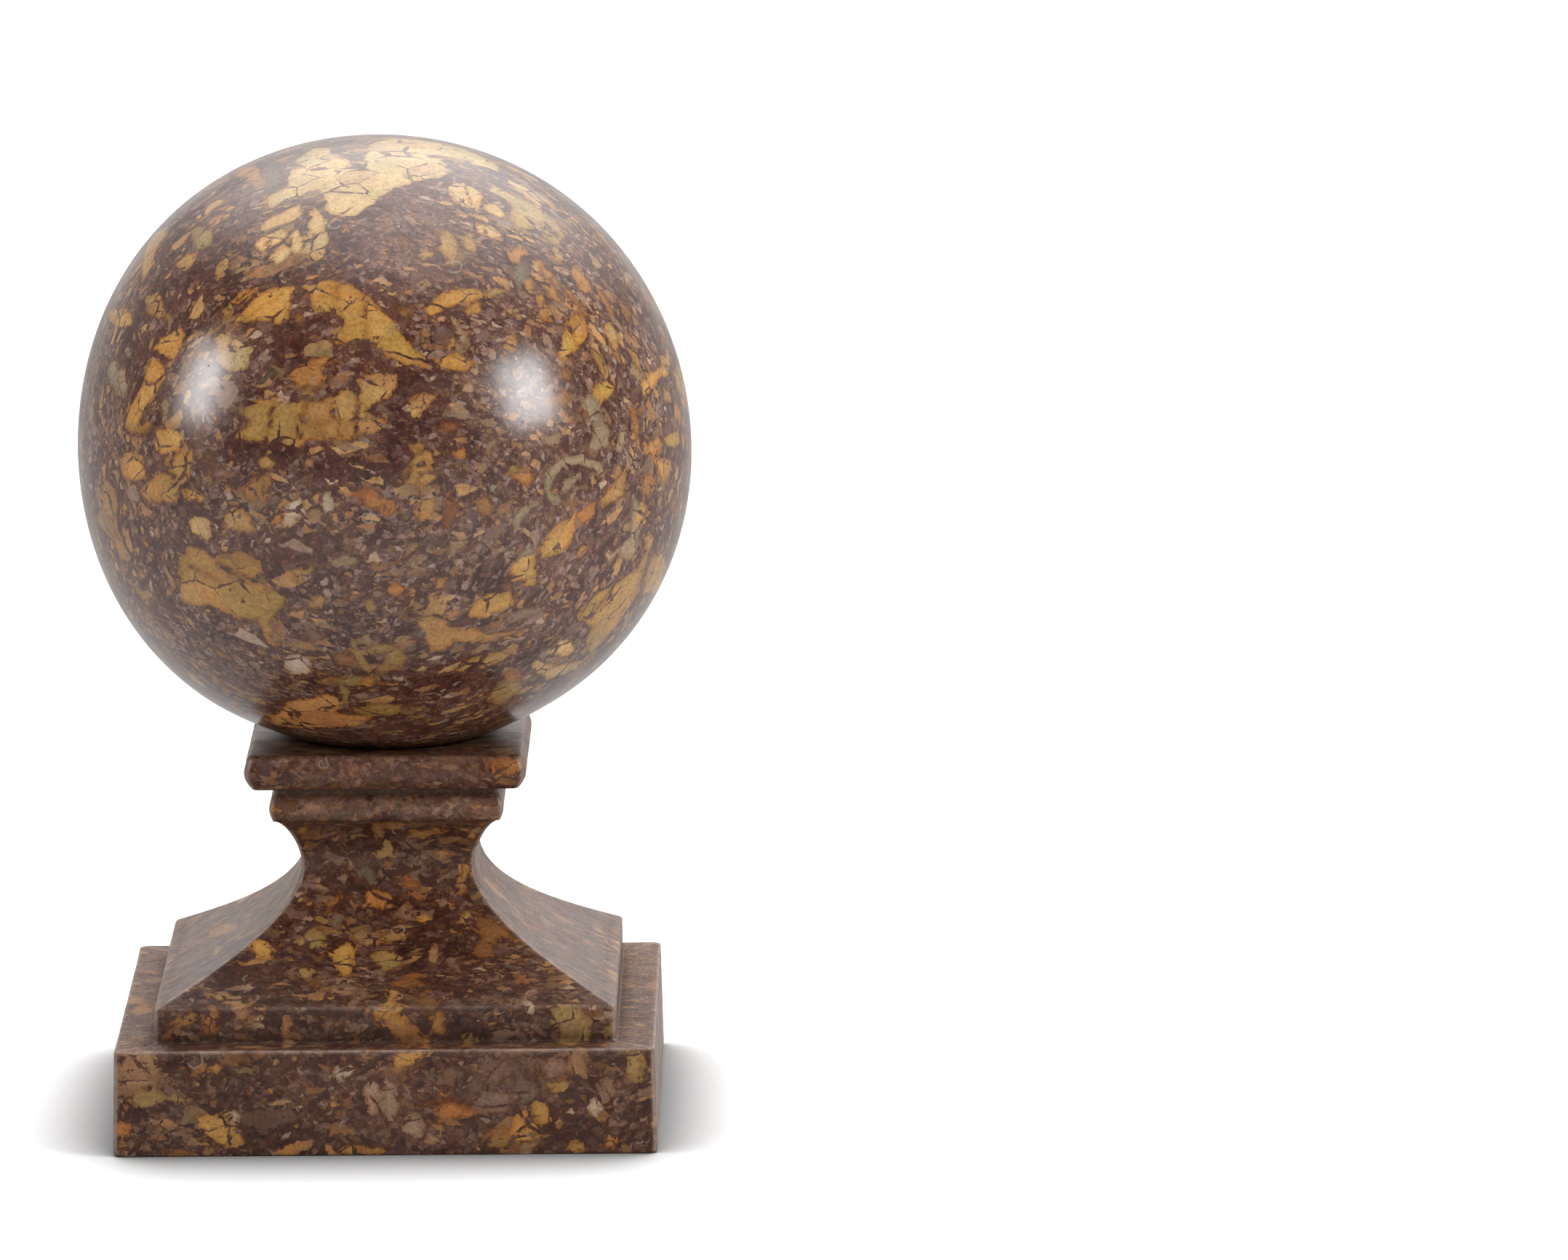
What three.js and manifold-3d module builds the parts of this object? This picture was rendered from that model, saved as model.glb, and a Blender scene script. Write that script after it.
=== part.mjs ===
// Stone pier ball: a polished ball of figured stone that rests in the shallow seat of a square carved pedestal.
// Millimetres, +Z up. The origin is the middle of the pedestal's underside, and -Y is the front.
import * as THREE from "three";
import { mergeVertices } from "three/addons/utils/BufferGeometryUtils.js";
import Module from "manifold-3d";

// Ball
const ballDiameter = 300;
const seatDepth = 8; // how far the ball sinks below the cap's flat top
const seatClearance = 0.3; // all round, between the ball and its seat

// Plinth, slightly narrower at its top than at its foot
const plinthFootWidth = 262;
const plinthTopWidth = 260;
const plinthHeight = 51.5;
const plinthFootEase = 1.5; // small bevel round the underside
const plinthTopEase = 3; // worn bevel round the top

// Upright face that stands back from the plinth's edge
const blockWidth = 222.5;
const blockHeight = 17;

// Hollow sweep from the upright face to the neck, and the smaller hollow above the neck
const sweepHeight = 58.3;
const neckWidth = 84.3;
const hollowHeight = 22.5;

// Band under the cap, a narrow return, and the cap with its cushioned edge
const bandWidth = 110.5;
const bandBulge = 2.2;
const bandHeight = 13.5;
const returnWidth = 108;
const returnHeight = 3.8;
const capFootWidth = 131;
const capTopWidth = 134.6;
const capBulge = 1.8;
const capHeight = 17.4;
const capTopEase = 1;

const cornerRadius = 2.5; // worn upright arrises

// Fineness of the surfaces
const cornerSteps = 3;
const sweepSteps = 14;
const hollowSteps = 7;
const bulgeSteps = 5;
const ballColumns = 56;
const ballRows = 36;

// Levels, from the underside up
const blockFoot = plinthHeight;
const sweepFoot = blockFoot + blockHeight;
const neckLevel = sweepFoot + sweepHeight;
const bandFoot = neckLevel + hollowHeight;
const returnFoot = bandFoot + bandHeight;
const capFoot = returnFoot + returnHeight;
const capTop = capFoot + capHeight;
const ballRadius = ballDiameter / 2;
const ballCentre = capTop - seatDepth + ballRadius;

const stone = { color: 0x7a5a45, metalness: 0 };
const polishedStone = new THREE.MeshStandardMaterial({ ...stone, roughness: 0.18 });
const honedStone = new THREE.MeshStandardMaterial({ ...stone, roughness: 0.5 });

// A profile point is a half-width of the square section, as x, at a height, as y.
const profilePoint = (width, level) => new THREE.Vector2(width / 2, level);

// The sweep leaves the upright face at a low slope and comes upright into the neck.
function sweepCurve() {
  const foot = profilePoint(blockWidth, sweepFoot);
  const neck = profilePoint(neckWidth, neckLevel);
  const run = foot.x - neck.x;
  return new THREE.CubicBezierCurve(
    foot,
    new THREE.Vector2(foot.x - 0.7 * run, foot.y + 0.385 * sweepHeight),
    new THREE.Vector2(neck.x, neck.y - 0.34 * sweepHeight),
    neck,
  ).getPoints(sweepSteps);
}

// The hollow leaves the neck upright and turns out under the band.
function hollowCurve() {
  const neck = profilePoint(neckWidth, neckLevel);
  const band = profilePoint(bandWidth, bandFoot);
  const run = band.x - neck.x;
  return new THREE.CubicBezierCurve(
    neck,
    new THREE.Vector2(neck.x, neck.y + 0.31 * hollowHeight),
    new THREE.Vector2(band.x - 0.5 * run, band.y - 0.06 * hollowHeight),
    band,
  ).getPoints(hollowSteps);
}

// An edge that swells by bulge at mid height between two points.
function bulgedEdge(foot, top, bulge) {
  return Array.from({ length: bulgeSteps + 1 }, (_, step) => {
    const share = step / bulgeSteps;
    const point = foot.clone().lerp(top, share);
    point.x += bulge * Math.sin(Math.PI * share);
    return point;
  });
}

function pedestalProfile() {
  const capEaseFoot = profilePoint(capTopWidth, capTop - capTopEase);
  return [
    profilePoint(plinthFootWidth - 2 * plinthFootEase, 0),
    profilePoint(plinthFootWidth, plinthFootEase),
    profilePoint(plinthTopWidth, plinthHeight - plinthTopEase),
    profilePoint(plinthTopWidth - 2 * plinthTopEase, plinthHeight),
    profilePoint(blockWidth, blockFoot),
    ...sweepCurve(),
    ...hollowCurve().slice(1),
    ...bulgedEdge(profilePoint(bandWidth, bandFoot), profilePoint(returnWidth, returnFoot), bandBulge).slice(1),
    profilePoint(returnWidth, capFoot),
    ...bulgedEdge(profilePoint(capFootWidth, capFoot), capEaseFoot, capBulge),
    profilePoint(capTopWidth - 2 * capTopEase, capTop),
  ];
}

// One square ring with rounded corners, counter-clockwise seen from above.
function squareRing({ x: halfWidth, y: level }) {
  const points = [];
  for (let corner = 0; corner < 4; corner += 1) {
    const quarter = (corner * Math.PI) / 2;
    const centre = new THREE.Vector2(1, 1)
      .multiplyScalar(halfWidth - cornerRadius)
      .rotateAround(new THREE.Vector2(), quarter);
    for (let step = 0; step <= cornerSteps; step += 1) {
      const angle = quarter + (step / cornerSteps) * (Math.PI / 2);
      const x = centre.x + cornerRadius * Math.cos(angle);
      const y = centre.y + cornerRadius * Math.sin(angle);
      points.push(x, y, level);
    }
  }
  return points;
}

// A square-sectioned turning: rings joined by quads, closed by a fan at the underside and one at the top.
function squareTurning(profile) {
  const rings = profile.map(squareRing);
  const perRing = rings[0].length / 3;
  const positions = rings.flat();
  const underside = positions.length / 3;
  positions.push(0, 0, profile[0].y);
  const top = underside + 1;
  positions.push(0, 0, profile.at(-1).y);
  const lastRing = (rings.length - 1) * perRing;
  const triangles = [];
  for (let place = 0; place < perRing; place += 1) {
    const next = (place + 1) % perRing;
    triangles.push(underside, next, place);
    triangles.push(top, lastRing + place, lastRing + next);
    for (let ring = 0; ring < lastRing; ring += perRing) {
      const above = ring + perRing;
      triangles.push(ring + place, ring + next, above + next);
      triangles.push(ring + place, above + next, above + place);
    }
  }
  const geometry = new THREE.BufferGeometry();
  geometry.setAttribute("position", new THREE.Float32BufferAttribute(positions, 3));
  geometry.setIndex(triangles);
  return geometry;
}

// The ball and the tool that cuts its seat share this shape, so that their facets line up.
function ballShape(radius) {
  const geometry = new THREE.SphereGeometry(radius, ballColumns, ballRows);
  geometry.rotateX(Math.PI / 2);
  return geometry;
}

const wasm = await Module();
wasm.setup();

function solidFrom(geometry) {
  const bare = geometry.clone();
  bare.deleteAttribute("normal");
  bare.deleteAttribute("uv");
  const merged = mergeVertices(bare, 1e-3);
  return new wasm.Manifold(
    new wasm.Mesh({
      numProp: 3,
      vertProperties: new Float32Array(merged.attributes.position.array),
      triVerts: new Uint32Array(merged.index.array),
    }),
  );
}

function geometryFrom(solid) {
  const { vertProperties, triVerts } = solid.getMesh();
  const geometry = new THREE.BufferGeometry();
  geometry.setAttribute("position", new THREE.Float32BufferAttribute(vertProperties, 3));
  geometry.setIndex([...triVerts]);
  geometry.computeVertexNormals();
  return geometry;
}

function buildBall() {
  const mesh = new THREE.Mesh(ballShape(ballRadius), polishedStone);
  mesh.name = "ball";
  mesh.position.z = ballCentre;
  return mesh;
}

function buildPedestal() {
  const carved = solidFrom(squareTurning(pedestalProfile()));
  const seatTool = solidFrom(ballShape(ballRadius + seatClearance).translate(0, 0, ballCentre));
  const mesh = new THREE.Mesh(geometryFrom(carved.subtract(seatTool)), honedStone);
  mesh.name = "pedestal";
  return mesh;
}

const pierBall = new THREE.Group();
pierBall.add(buildPedestal(), buildBall());

export default pierBall;
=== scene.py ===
"""Looks of the stone pier ball: a polished ball of shell breccia resting on its square carved pedestal.

Metres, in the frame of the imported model: +Z up, -Y the front, the origin under the middle of the pedestal.
Inside the material the coordinates are turned to millimetres, because the stone's figure is sized in them.
"""
import math

import bpy
import numpy as np
from mathutils import Matrix, Vector
from mathutils.bvhtree import BVHTree


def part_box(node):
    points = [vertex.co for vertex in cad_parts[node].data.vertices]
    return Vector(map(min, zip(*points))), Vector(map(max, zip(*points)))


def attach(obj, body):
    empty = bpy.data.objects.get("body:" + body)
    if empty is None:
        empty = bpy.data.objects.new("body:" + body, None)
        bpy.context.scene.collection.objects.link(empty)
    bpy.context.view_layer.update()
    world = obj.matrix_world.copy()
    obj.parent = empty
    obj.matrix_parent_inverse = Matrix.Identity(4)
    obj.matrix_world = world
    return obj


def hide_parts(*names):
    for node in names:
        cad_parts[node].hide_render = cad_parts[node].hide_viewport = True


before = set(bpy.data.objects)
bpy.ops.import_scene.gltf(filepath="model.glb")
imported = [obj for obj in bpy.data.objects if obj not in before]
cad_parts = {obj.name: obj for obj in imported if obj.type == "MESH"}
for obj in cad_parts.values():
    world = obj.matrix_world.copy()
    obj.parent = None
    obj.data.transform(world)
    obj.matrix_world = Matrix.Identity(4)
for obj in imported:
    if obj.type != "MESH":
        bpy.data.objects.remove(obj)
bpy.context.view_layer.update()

MM = 0.001
PHOTO_WIDTH, PHOTO_HEIGHT = 2156, 1733

# The frame: the ball's sphere and the pedestal's box
ball_low, ball_high = (np.array(corner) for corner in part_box("ball"))
pedestal_low, pedestal_high = (np.array(corner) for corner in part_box("pedestal"))
BALL_CENTRE = (ball_low + ball_high) / 2
BALL_RADIUS = (ball_high[2] - ball_low[2]) / 2
CAP_TOP = pedestal_high[2]

# The camera, found from the plinth's corners and the ball's outline in the photograph
CAMERA_AZIMUTH = math.radians(0.24)
CAMERA_ELEVATION = math.radians(10.05)
CAMERA_ROLL = math.radians(-0.47)
CAMERA_DISTANCE = 6.6
CAMERA_AIM = np.array([0.1932, 0.0, 0.2321])
CAMERA_LENS = 310.96
SENSOR_WIDTH = 36.0
# Millimetres on the object for each pixel of the photograph
PIXEL = CAMERA_DISTANCE * SENSOR_WIDTH / (CAMERA_LENS * PHOTO_WIDTH) / MM


def camera_axes():
    """Place, right, up and forward of the camera. It stands back from its aim, rolled about its axis."""
    level, rise = math.cos(CAMERA_ELEVATION), math.sin(CAMERA_ELEVATION)
    back = np.array([math.sin(CAMERA_AZIMUTH) * level, -math.cos(CAMERA_AZIMUTH) * level, rise])
    right = np.cross(-back, [0, 0, 1])
    right /= np.linalg.norm(right)
    up = np.cross(right, -back)
    turn, lean = math.cos(CAMERA_ROLL), math.sin(CAMERA_ROLL)
    place = CAMERA_AIM + CAMERA_DISTANCE * back
    return place, turn * right + lean * up, turn * up - lean * right, -back


def make_camera():
    place, right, up, forward = camera_axes()
    data = bpy.data.cameras.new("camera")
    data.lens = CAMERA_LENS
    data.sensor_width = SENSOR_WIDTH
    data.clip_end = 100
    camera = bpy.data.objects.new("camera", data)
    turned = Matrix((right, up, -forward)).transposed().to_4x4()
    camera.matrix_world = Matrix.Translation(Vector(place)) @ turned
    bpy.context.scene.collection.objects.link(camera)
    bpy.context.scene.camera = camera


def pixel_ray(pixel):
    """Direction from the camera through a pixel of the photograph."""
    _, right, up, forward = camera_axes()
    focal = CAMERA_LENS / SENSOR_WIDTH * PHOTO_WIDTH
    x = (pixel[0] - PHOTO_WIDTH / 2) / focal
    y = (PHOTO_HEIGHT / 2 - pixel[1]) / focal
    ray = forward + x * right + y * up
    return ray / np.linalg.norm(ray)


# Noise and small helpers on arrays of points

LATTICE_SIZE = 32


def lattice_noise(points, cell, seed):
    """Smooth noise from -1 to 1: random values on a cubic lattice, blended by a smooth step between them."""
    size = LATTICE_SIZE
    table = np.random.default_rng(seed).uniform(-1, 1, (size, size, size))
    scaled = points / cell
    whole = np.floor(scaled).astype(int)
    part = scaled - whole
    part = part * part * (3 - 2 * part)
    total = np.zeros(len(points))
    for corner in range(8):
        step = np.array([corner & 1, corner >> 1 & 1, corner >> 2 & 1])
        weight = np.prod(np.where(step == 1, part, 1 - part), axis=1)
        index = (whole + step) % size
        total += weight * table[index[:, 0], index[:, 1], index[:, 2]]
    return total


def layered_noise(points, cell, seed, layers=3):
    """Sum of lattice noises, each at half the cell and half the strength of the one before."""
    total = sum(lattice_noise(points, cell / 2 ** n, seed + n) / 2 ** n for n in range(layers))
    return total / (2 - 2.0 ** (1 - layers))


def smooth_step(low, high, value):
    """0 below low, 1 above high, and between them three times the share squared less twice its cube."""
    share = np.clip((value - low) / (high - low), 0, 1)
    return share * share * (3 - 2 * share)


def mesh_object(name, vertices, quads, triangles=()):
    """A smooth-shaded object at the origin from arrays of vertices and quads, and a list of triangles."""
    mesh = bpy.data.meshes.new(name)
    mesh.from_pydata(vertices.tolist(), [], [*quads.tolist(), *triangles])
    mesh.polygons.foreach_set("use_smooth", np.ones(len(mesh.polygons), bool))
    mesh.update()
    piece = bpy.data.objects.new(name, mesh)
    bpy.context.scene.collection.objects.link(piece)
    return piece


def keep_values(piece, **layers):
    """Stores arrays of one number for each point as attributes of the piece."""
    for name, values in layers.items():
        layer = piece.data.attributes.new(name, "FLOAT", "POINT")
        layer.data.foreach_set("value", values.astype(np.float32))


# Shape of the ball

BALL_FACE_STEPS = 126
# Out-of-roundness by number of lobes round the front view: (cosine, sine) share of the radius
BALL_LOBES = {2: (-0.0006, -0.0031), 3: (0.0044, -0.0048), 4: (-0.00553, -0.0012)}
BALL_SHIFT = np.array([-0.0008, 0, 0])
# Heights of a direction between which the lobes and the shift come in, above the true sphere in the seat
SEAT_FADE = (-0.985, -0.8)


def cube_sphere(steps):
    """Unit sphere from a cube's six faces: each grid is spaced by equal angles and pushed out to radius 1."""
    along = np.tan(np.linspace(-1, 1, steps + 1) * math.pi / 4)
    a, b = (grid.ravel() for grid in np.meshgrid(along, along, indexing="ij"))
    one = np.ones_like(a)
    faces = [(one, a, b), (-one, b, a), (b, one, a), (a, -one, b), (a, b, one), (b, a, -one)]
    points = np.concatenate([np.stack(face, 1) for face in faces])
    points /= np.linalg.norm(points, axis=1, keepdims=True)
    grid = np.arange((steps + 1) ** 2).reshape(steps + 1, steps + 1)
    quad = np.stack([grid[:-1, :-1], grid[1:, :-1], grid[1:, 1:], grid[:-1, 1:]], -1).reshape(-1, 4)
    quads = np.concatenate([quad + side * grid.size for side in range(6)])
    _, first, welded = np.unique(np.round(points, 7), axis=0, return_index=True, return_inverse=True)
    return points[first], welded.ravel()[quads]


def ball_surface(directions):
    """Radius times each direction, times one plus lobes: Re and Im of (x + iz)^k, which fade at the seat."""
    flat = directions[:, 0] + 1j * directions[:, 2]
    swell = sum((c * (flat ** k).real + s * (flat ** k).imag) for k, (c, s) in BALL_LOBES.items())
    away_from_seat = smooth_step(*SEAT_FADE, directions[:, 2])
    radius = BALL_RADIUS * (1 + swell * away_from_seat)
    shift = BALL_SHIFT * away_from_seat[:, None]
    return BALL_CENTRE + directions * radius[:, None] + shift


def make_ball():
    directions, quads = cube_sphere(BALL_FACE_STEPS)
    return mesh_object("stone_ball", ball_surface(directions), quads)


# Shape of the pedestal, in millimetres, as in its solid

PLINTH_FOOT_WIDTH, PLINTH_TOP_WIDTH, PLINTH_HEIGHT = 262, 260, 51.5
BLOCK_WIDTH, BLOCK_HEIGHT = 222.5, 17
SWEEP_HEIGHT, NECK_WIDTH, HOLLOW_HEIGHT = 58.3, 84.3, 22.5
BAND_WIDTH, BAND_BULGE, BAND_HEIGHT = 110.5, 2.2, 13.5
RETURN_WIDTH, RETURN_HEIGHT = 108, 3.8
CAP_FOOT_WIDTH, CAP_TOP_WIDTH, CAP_BULGE, CAP_HEIGHT = 131, 134.6, 1.8, 17.4
SEAT_DEPTH, SEAT_CLEARANCE, SEAT_RIM = 8, 0.3, 49
# Levels, from the underside up
BLOCK_FOOT = PLINTH_HEIGHT
SWEEP_FOOT = BLOCK_FOOT + BLOCK_HEIGHT
NECK_LEVEL = SWEEP_FOOT + SWEEP_HEIGHT
BAND_FOOT = NECK_LEVEL + HOLLOW_HEIGHT
RETURN_FOOT = BAND_FOOT + BAND_HEIGHT
CAP_FOOT = RETURN_FOOT + RETURN_HEIGHT
CAP_LEVEL = CAP_FOOT + CAP_HEIGHT
# Wear, in mm: the depth of the chips on the arrises, and the wave of the hand-finished faces
CHIP_DEPTH, CHIP_SIZE = 2.6, 13
WAVE_DEPTH, WAVE_SIZE = 0.22, 45
# Columns of the grid on each side and round each corner
SIDE_COLUMNS, CORNER_COLUMNS = 108, 8


def bezier(start, pull, push, end, steps):
    """Cubic curve: the four points weighted by the terms of ((1 - t) + t) cubed."""
    t = np.linspace(0, 1, steps + 1)[:, None]
    points = [np.array(point, float) for point in (start, pull, push, end)]
    weights = ((1 - t) ** 3, 3 * t * (1 - t) ** 2, 3 * t * t * (1 - t), t ** 3)
    return sum(weight * point for weight, point in zip(weights, points))


def straight(start, end, steps):
    """Evenly spaced points from start to end."""
    t = np.linspace(0, 1, steps + 1)[:, None]
    return (1 - t) * np.array(start, float) + t * np.array(end, float)


def swelling(start, end, bulge, steps):
    """A straight edge whose half-width grows by bulge times the sine of pi t."""
    points = straight(start, end, steps)
    points[:, 0] += bulge * np.sin(np.pi * np.linspace(0, 1, steps + 1))
    return points


def eased(corner_in, corner, corner_out, radius, steps=5):
    """Rounds a corner: a quadratic curve between the points at radius before and after it."""
    before, here, after = (np.array(point, float) for point in (corner_in, corner, corner_out))
    first = here + (before - here) / np.linalg.norm(before - here) * radius
    last = here + (after - here) / np.linalg.norm(after - here) * radius
    t = np.linspace(0, 1, steps + 1)[:, None]
    return (1 - t) ** 2 * first + 2 * t * (1 - t) * here + t * t * last


def pedestal_profile():
    """Rows of half-width, height, squareness and corner radius in mm, from the underside to the seat."""
    foot, top = PLINTH_FOOT_WIDTH / 2, PLINTH_TOP_WIDTH / 2
    block, neck = BLOCK_WIDTH / 2, NECK_WIDTH / 2
    band, under = BAND_WIDTH / 2, RETURN_WIDTH / 2
    cap_foot, cap_top = CAP_FOOT_WIDTH / 2, CAP_TOP_WIDTH / 2
    run, reach = block - neck, band - neck
    # Each section's points, its squareness and the radius of its upright corners
    sections = [
        (straight((0.5, 0), (foot - 4, 0), 12), 1, 3.5),
        (eased((0, 0), (foot, 0), (foot, 9), 2.2), 1, 3.8),
        (straight((foot, 2.8), (top, BLOCK_FOOT - 1.8), 24), 1, 3.4),
        (eased((top, 0), (top, BLOCK_FOOT), (0, BLOCK_FOOT), 1.2), 1, 3.4),
        (straight((top - 1.8, BLOCK_FOOT), (block + 1.6, BLOCK_FOOT), 8), 1, 3.4),
        (eased((block + 9, BLOCK_FOOT), (block, BLOCK_FOOT), (block, BLOCK_FOOT + 9), 1.2, 3), 1, 3.2),
        (straight((block, BLOCK_FOOT + 1.8), (block, SWEEP_FOOT - 1.6), 8), 1, 3.2),
        (eased((block, BLOCK_FOOT), (block, SWEEP_FOOT), (block - 9, SWEEP_FOOT + 4.8), 1.2, 4), 1, 3.2),
        (bezier((block, SWEEP_FOOT), (block - 0.7 * run, SWEEP_FOOT + 0.385 * SWEEP_HEIGHT),
                (neck, NECK_LEVEL - 0.34 * SWEEP_HEIGHT), (neck, NECK_LEVEL), 52)[2:], 1, 2.8),
        (bezier((neck, NECK_LEVEL), (neck, NECK_LEVEL + 0.31 * HOLLOW_HEIGHT),
                (band - 0.5 * reach, BAND_FOOT - 0.06 * HOLLOW_HEIGHT), (band, BAND_FOOT), 18)[1:], 1, 2.4),
        (swelling((band, BAND_FOOT), (under, RETURN_FOOT), BAND_BULGE, 12)[1:], 1, 3.0),
        (straight((under, RETURN_FOOT + 0.6), (under, CAP_FOOT - 0.7), 3), 1, 2.6),
        (straight((under + 0.7, CAP_FOOT), (cap_foot - 1.2, CAP_FOOT), 5), 1, 3.2),
        (swelling((cap_foot, CAP_FOOT + 1.2), (cap_top, CAP_LEVEL - 4.6), CAP_BULGE, 13), 1, 4.6),
        (eased((cap_top, CAP_FOOT), (cap_top, CAP_LEVEL - 0.6), (0, CAP_LEVEL - 0.6), 3.6, 5), 1, 5.0),
    ]
    rows = [np.column_stack([line, np.full(len(line), square), np.full(len(line), corner)])
            for line, square, corner in sections]
    seat_radius = BALL_RADIUS / MM + SEAT_CLEARANCE
    seat_centre = CAP_LEVEL - SEAT_DEPTH + BALL_RADIUS / MM
    rim = math.sqrt(seat_radius ** 2 - (seat_centre - CAP_LEVEL + 1.2) ** 2)
    share = np.linspace(0, 1, 13)[1:, None]
    half = (1 - share) * (cap_top - 4.5) + share * rim
    rows.append(np.column_stack([half, CAP_LEVEL - 0.6 - 0.6 * share, 1 - share, 5 * (1 - share)]))
    dish = rim * np.linspace(1, 0, 16)[1:-1]
    depth = seat_centre - np.sqrt(seat_radius ** 2 - dish ** 2)
    rows.append(np.column_stack([dish, depth, np.zeros_like(dish), np.zeros_like(dish)]))
    return np.concatenate(rows), (0, 0, seat_centre - seat_radius)


def square_rings(profile):
    """For each profile row a square with rounded corners, blended to a circle as squareness falls to zero.

    A column is a corner centre plus an arc of the corner radius, or a point of the straight between two arcs.
    """
    half, level, square, corner = (profile[:, i, None] for i in range(4))
    spread = np.linspace(0, 1, SIDE_COLUMNS + 1)[1:-1]
    spread = (1 - np.cos(np.pi * spread)) / 2 * 0.3 + spread * 0.7
    arc = np.linspace(0, np.pi / 2, CORNER_COLUMNS + 1)
    inner = half - corner
    x_parts, y_parts = [], []
    for quarter in range(4):
        cos_q, sin_q = round(math.cos(quarter * math.pi / 2)), round(math.sin(quarter * math.pi / 2))
        x = np.concatenate([inner + corner * np.cos(arc), inner - 2 * inner * spread], axis=1)
        y = np.concatenate([inner + corner * np.sin(arc), half + 0 * spread], axis=1)
        x_parts.append(cos_q * x - sin_q * y)
        y_parts.append(sin_q * x + cos_q * y)
    x, y = np.concatenate(x_parts, 1), np.concatenate(y_parts, 1)
    length = np.hypot(x, y)
    angle = np.arctan2(y, x)
    x = square * x + (1 - square) * half * np.cos(angle)
    y = square * y + (1 - square) * half * np.sin(angle)
    return np.stack([x, y, level + 0 * length], -1)


def arris_wear(points, profile_turn):
    """Nearness to an arris, 1 on it and 0 beyond about 5 mm: upright corners, and turns of the profile."""
    reach = np.minimum(np.abs(points[..., 0]), np.abs(points[..., 1]))
    outer = np.maximum(np.abs(points[..., 0]), np.abs(points[..., 1]))
    upright = np.exp(-((outer - reach) / 4.0) ** 2)
    return np.maximum(upright, profile_turn[:, None])


def recess_grime(points):
    """Painted shade with some dirt in the inner corners and round the ball's seat: a strength times exp of
    minus the squared distance over a reach.
    """
    outer = np.maximum(np.abs(points[:, 0]), np.abs(points[:, 1]))
    # Half-width, level, reach and strength
    corners = [
        (BLOCK_WIDTH / 2, BLOCK_FOOT, 5.0, 0.7),
        (RETURN_WIDTH / 2, CAP_FOOT - RETURN_HEIGHT / 2, 4.0, 0.75),
        (BAND_WIDTH / 2, BAND_FOOT, 3.0, 0.35),
        (SEAT_RIM, CAP_LEVEL, 5.0, 0.4),
    ]
    total = np.zeros(len(points))
    for half, level, reach, strength in corners:
        gap = np.hypot(outer - half, points[:, 2] - level)
        total = np.maximum(total, strength * np.exp(-(gap / reach) ** 2))
    return total


def wear_and_highlight_line(points):
    """The thin pale line along an arris, partly rubbed stone and partly a painted highlight: a strength at an
    upright or level arris, gone within 2 mm.
    """
    across, along = np.abs(points[:, 0]), np.abs(points[:, 1])
    outer = np.maximum(across, along)
    total = 0.8 * np.exp(-((across - along) / 1.5) ** 2)
    # Half-width, level and strength
    arrises = (
        (PLINTH_TOP_WIDTH / 2, PLINTH_HEIGHT, 1.0),
        (BLOCK_WIDTH / 2, SWEEP_FOOT, 0.3),
        (CAP_TOP_WIDTH / 2 - 1, CAP_TOP / MM - 1.2, 0.35),
    )
    for half, level, strength in arrises:
        gap = np.hypot(outer - half, points[:, 2] - level)
        total = np.maximum(total, strength * np.exp(-(gap / 1.2) ** 2))
    return total


def make_pedestal():
    """The profile's rings, pushed in at the chips of the arrises, and waved a little on the faces."""
    profile, seat_bottom = pedestal_profile()
    rings = square_rings(profile)
    rows, columns = rings.shape[:2]
    tangent = np.gradient(profile[:, :2], axis=0)
    heading = np.unwrap(np.arctan2(tangent[:, 1], tangent[:, 0]))
    turn = np.clip(np.gradient(heading) * 1.4, 0, 1)
    turn = np.convolve(turn, [0.2, 0.6, 1, 0.6, 0.2], "same").clip(0, 1)
    outward = rings * [1, 1, 0]
    outward /= np.maximum(np.linalg.norm(outward, axis=-1, keepdims=True), 1e-6)
    flat = rings.reshape(-1, 3)
    near = arris_wear(rings, turn).ravel()
    top = CAP_TOP / MM
    standing = smooth_step(0.2, 2.5, flat[:, 2]) * smooth_step(top - 0.3, top - 3, flat[:, 2])
    chips = smooth_step(0.30, 0.75, layered_noise(flat, CHIP_SIZE, 21)) * CHIP_DEPTH
    wave = WAVE_DEPTH * layered_noise(flat, WAVE_SIZE, 31, 2) - 0.1
    inward = near * chips * standing - wave * standing
    moved = flat - outward.reshape(-1, 3) * inward[:, None]
    moved[:, 2] -= near * chips * standing * 0.5
    vertices = np.concatenate([moved, [(0, 0, 0), seat_bottom]]) * MM
    grid = np.arange(rows * columns).reshape(rows, columns)
    following = np.roll(grid, -1, axis=1)
    quads = np.stack([grid[:-1], following[:-1], following[1:], grid[1:]], -1).reshape(-1, 4)
    underside, seat = rows * columns, rows * columns + 1
    fans = [(underside, int(b), int(a)) for a, b in zip(grid[0], following[0])]
    fans += [(seat, int(a), int(b)) for a, b in zip(grid[-1], following[-1])]
    piece = mesh_object("stone_pedestal", vertices, quads, fans)
    fan_middles = [0, 0]
    # Painted shade with some dirt in the inner corners and round the seat, kept as the first attribute
    keep_values(piece, grime=np.append(recess_grime(flat), fan_middles),
                # Pale arris line, partly rubbed stone and partly a painted highlight, kept as the second
                # attribute
                wear=np.append(wear_and_highlight_line(flat) * standing, fan_middles))
    return piece


# Figure of the stone. An outline is a list of pixels of the photograph, laid onto the surface that it shows.

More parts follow.
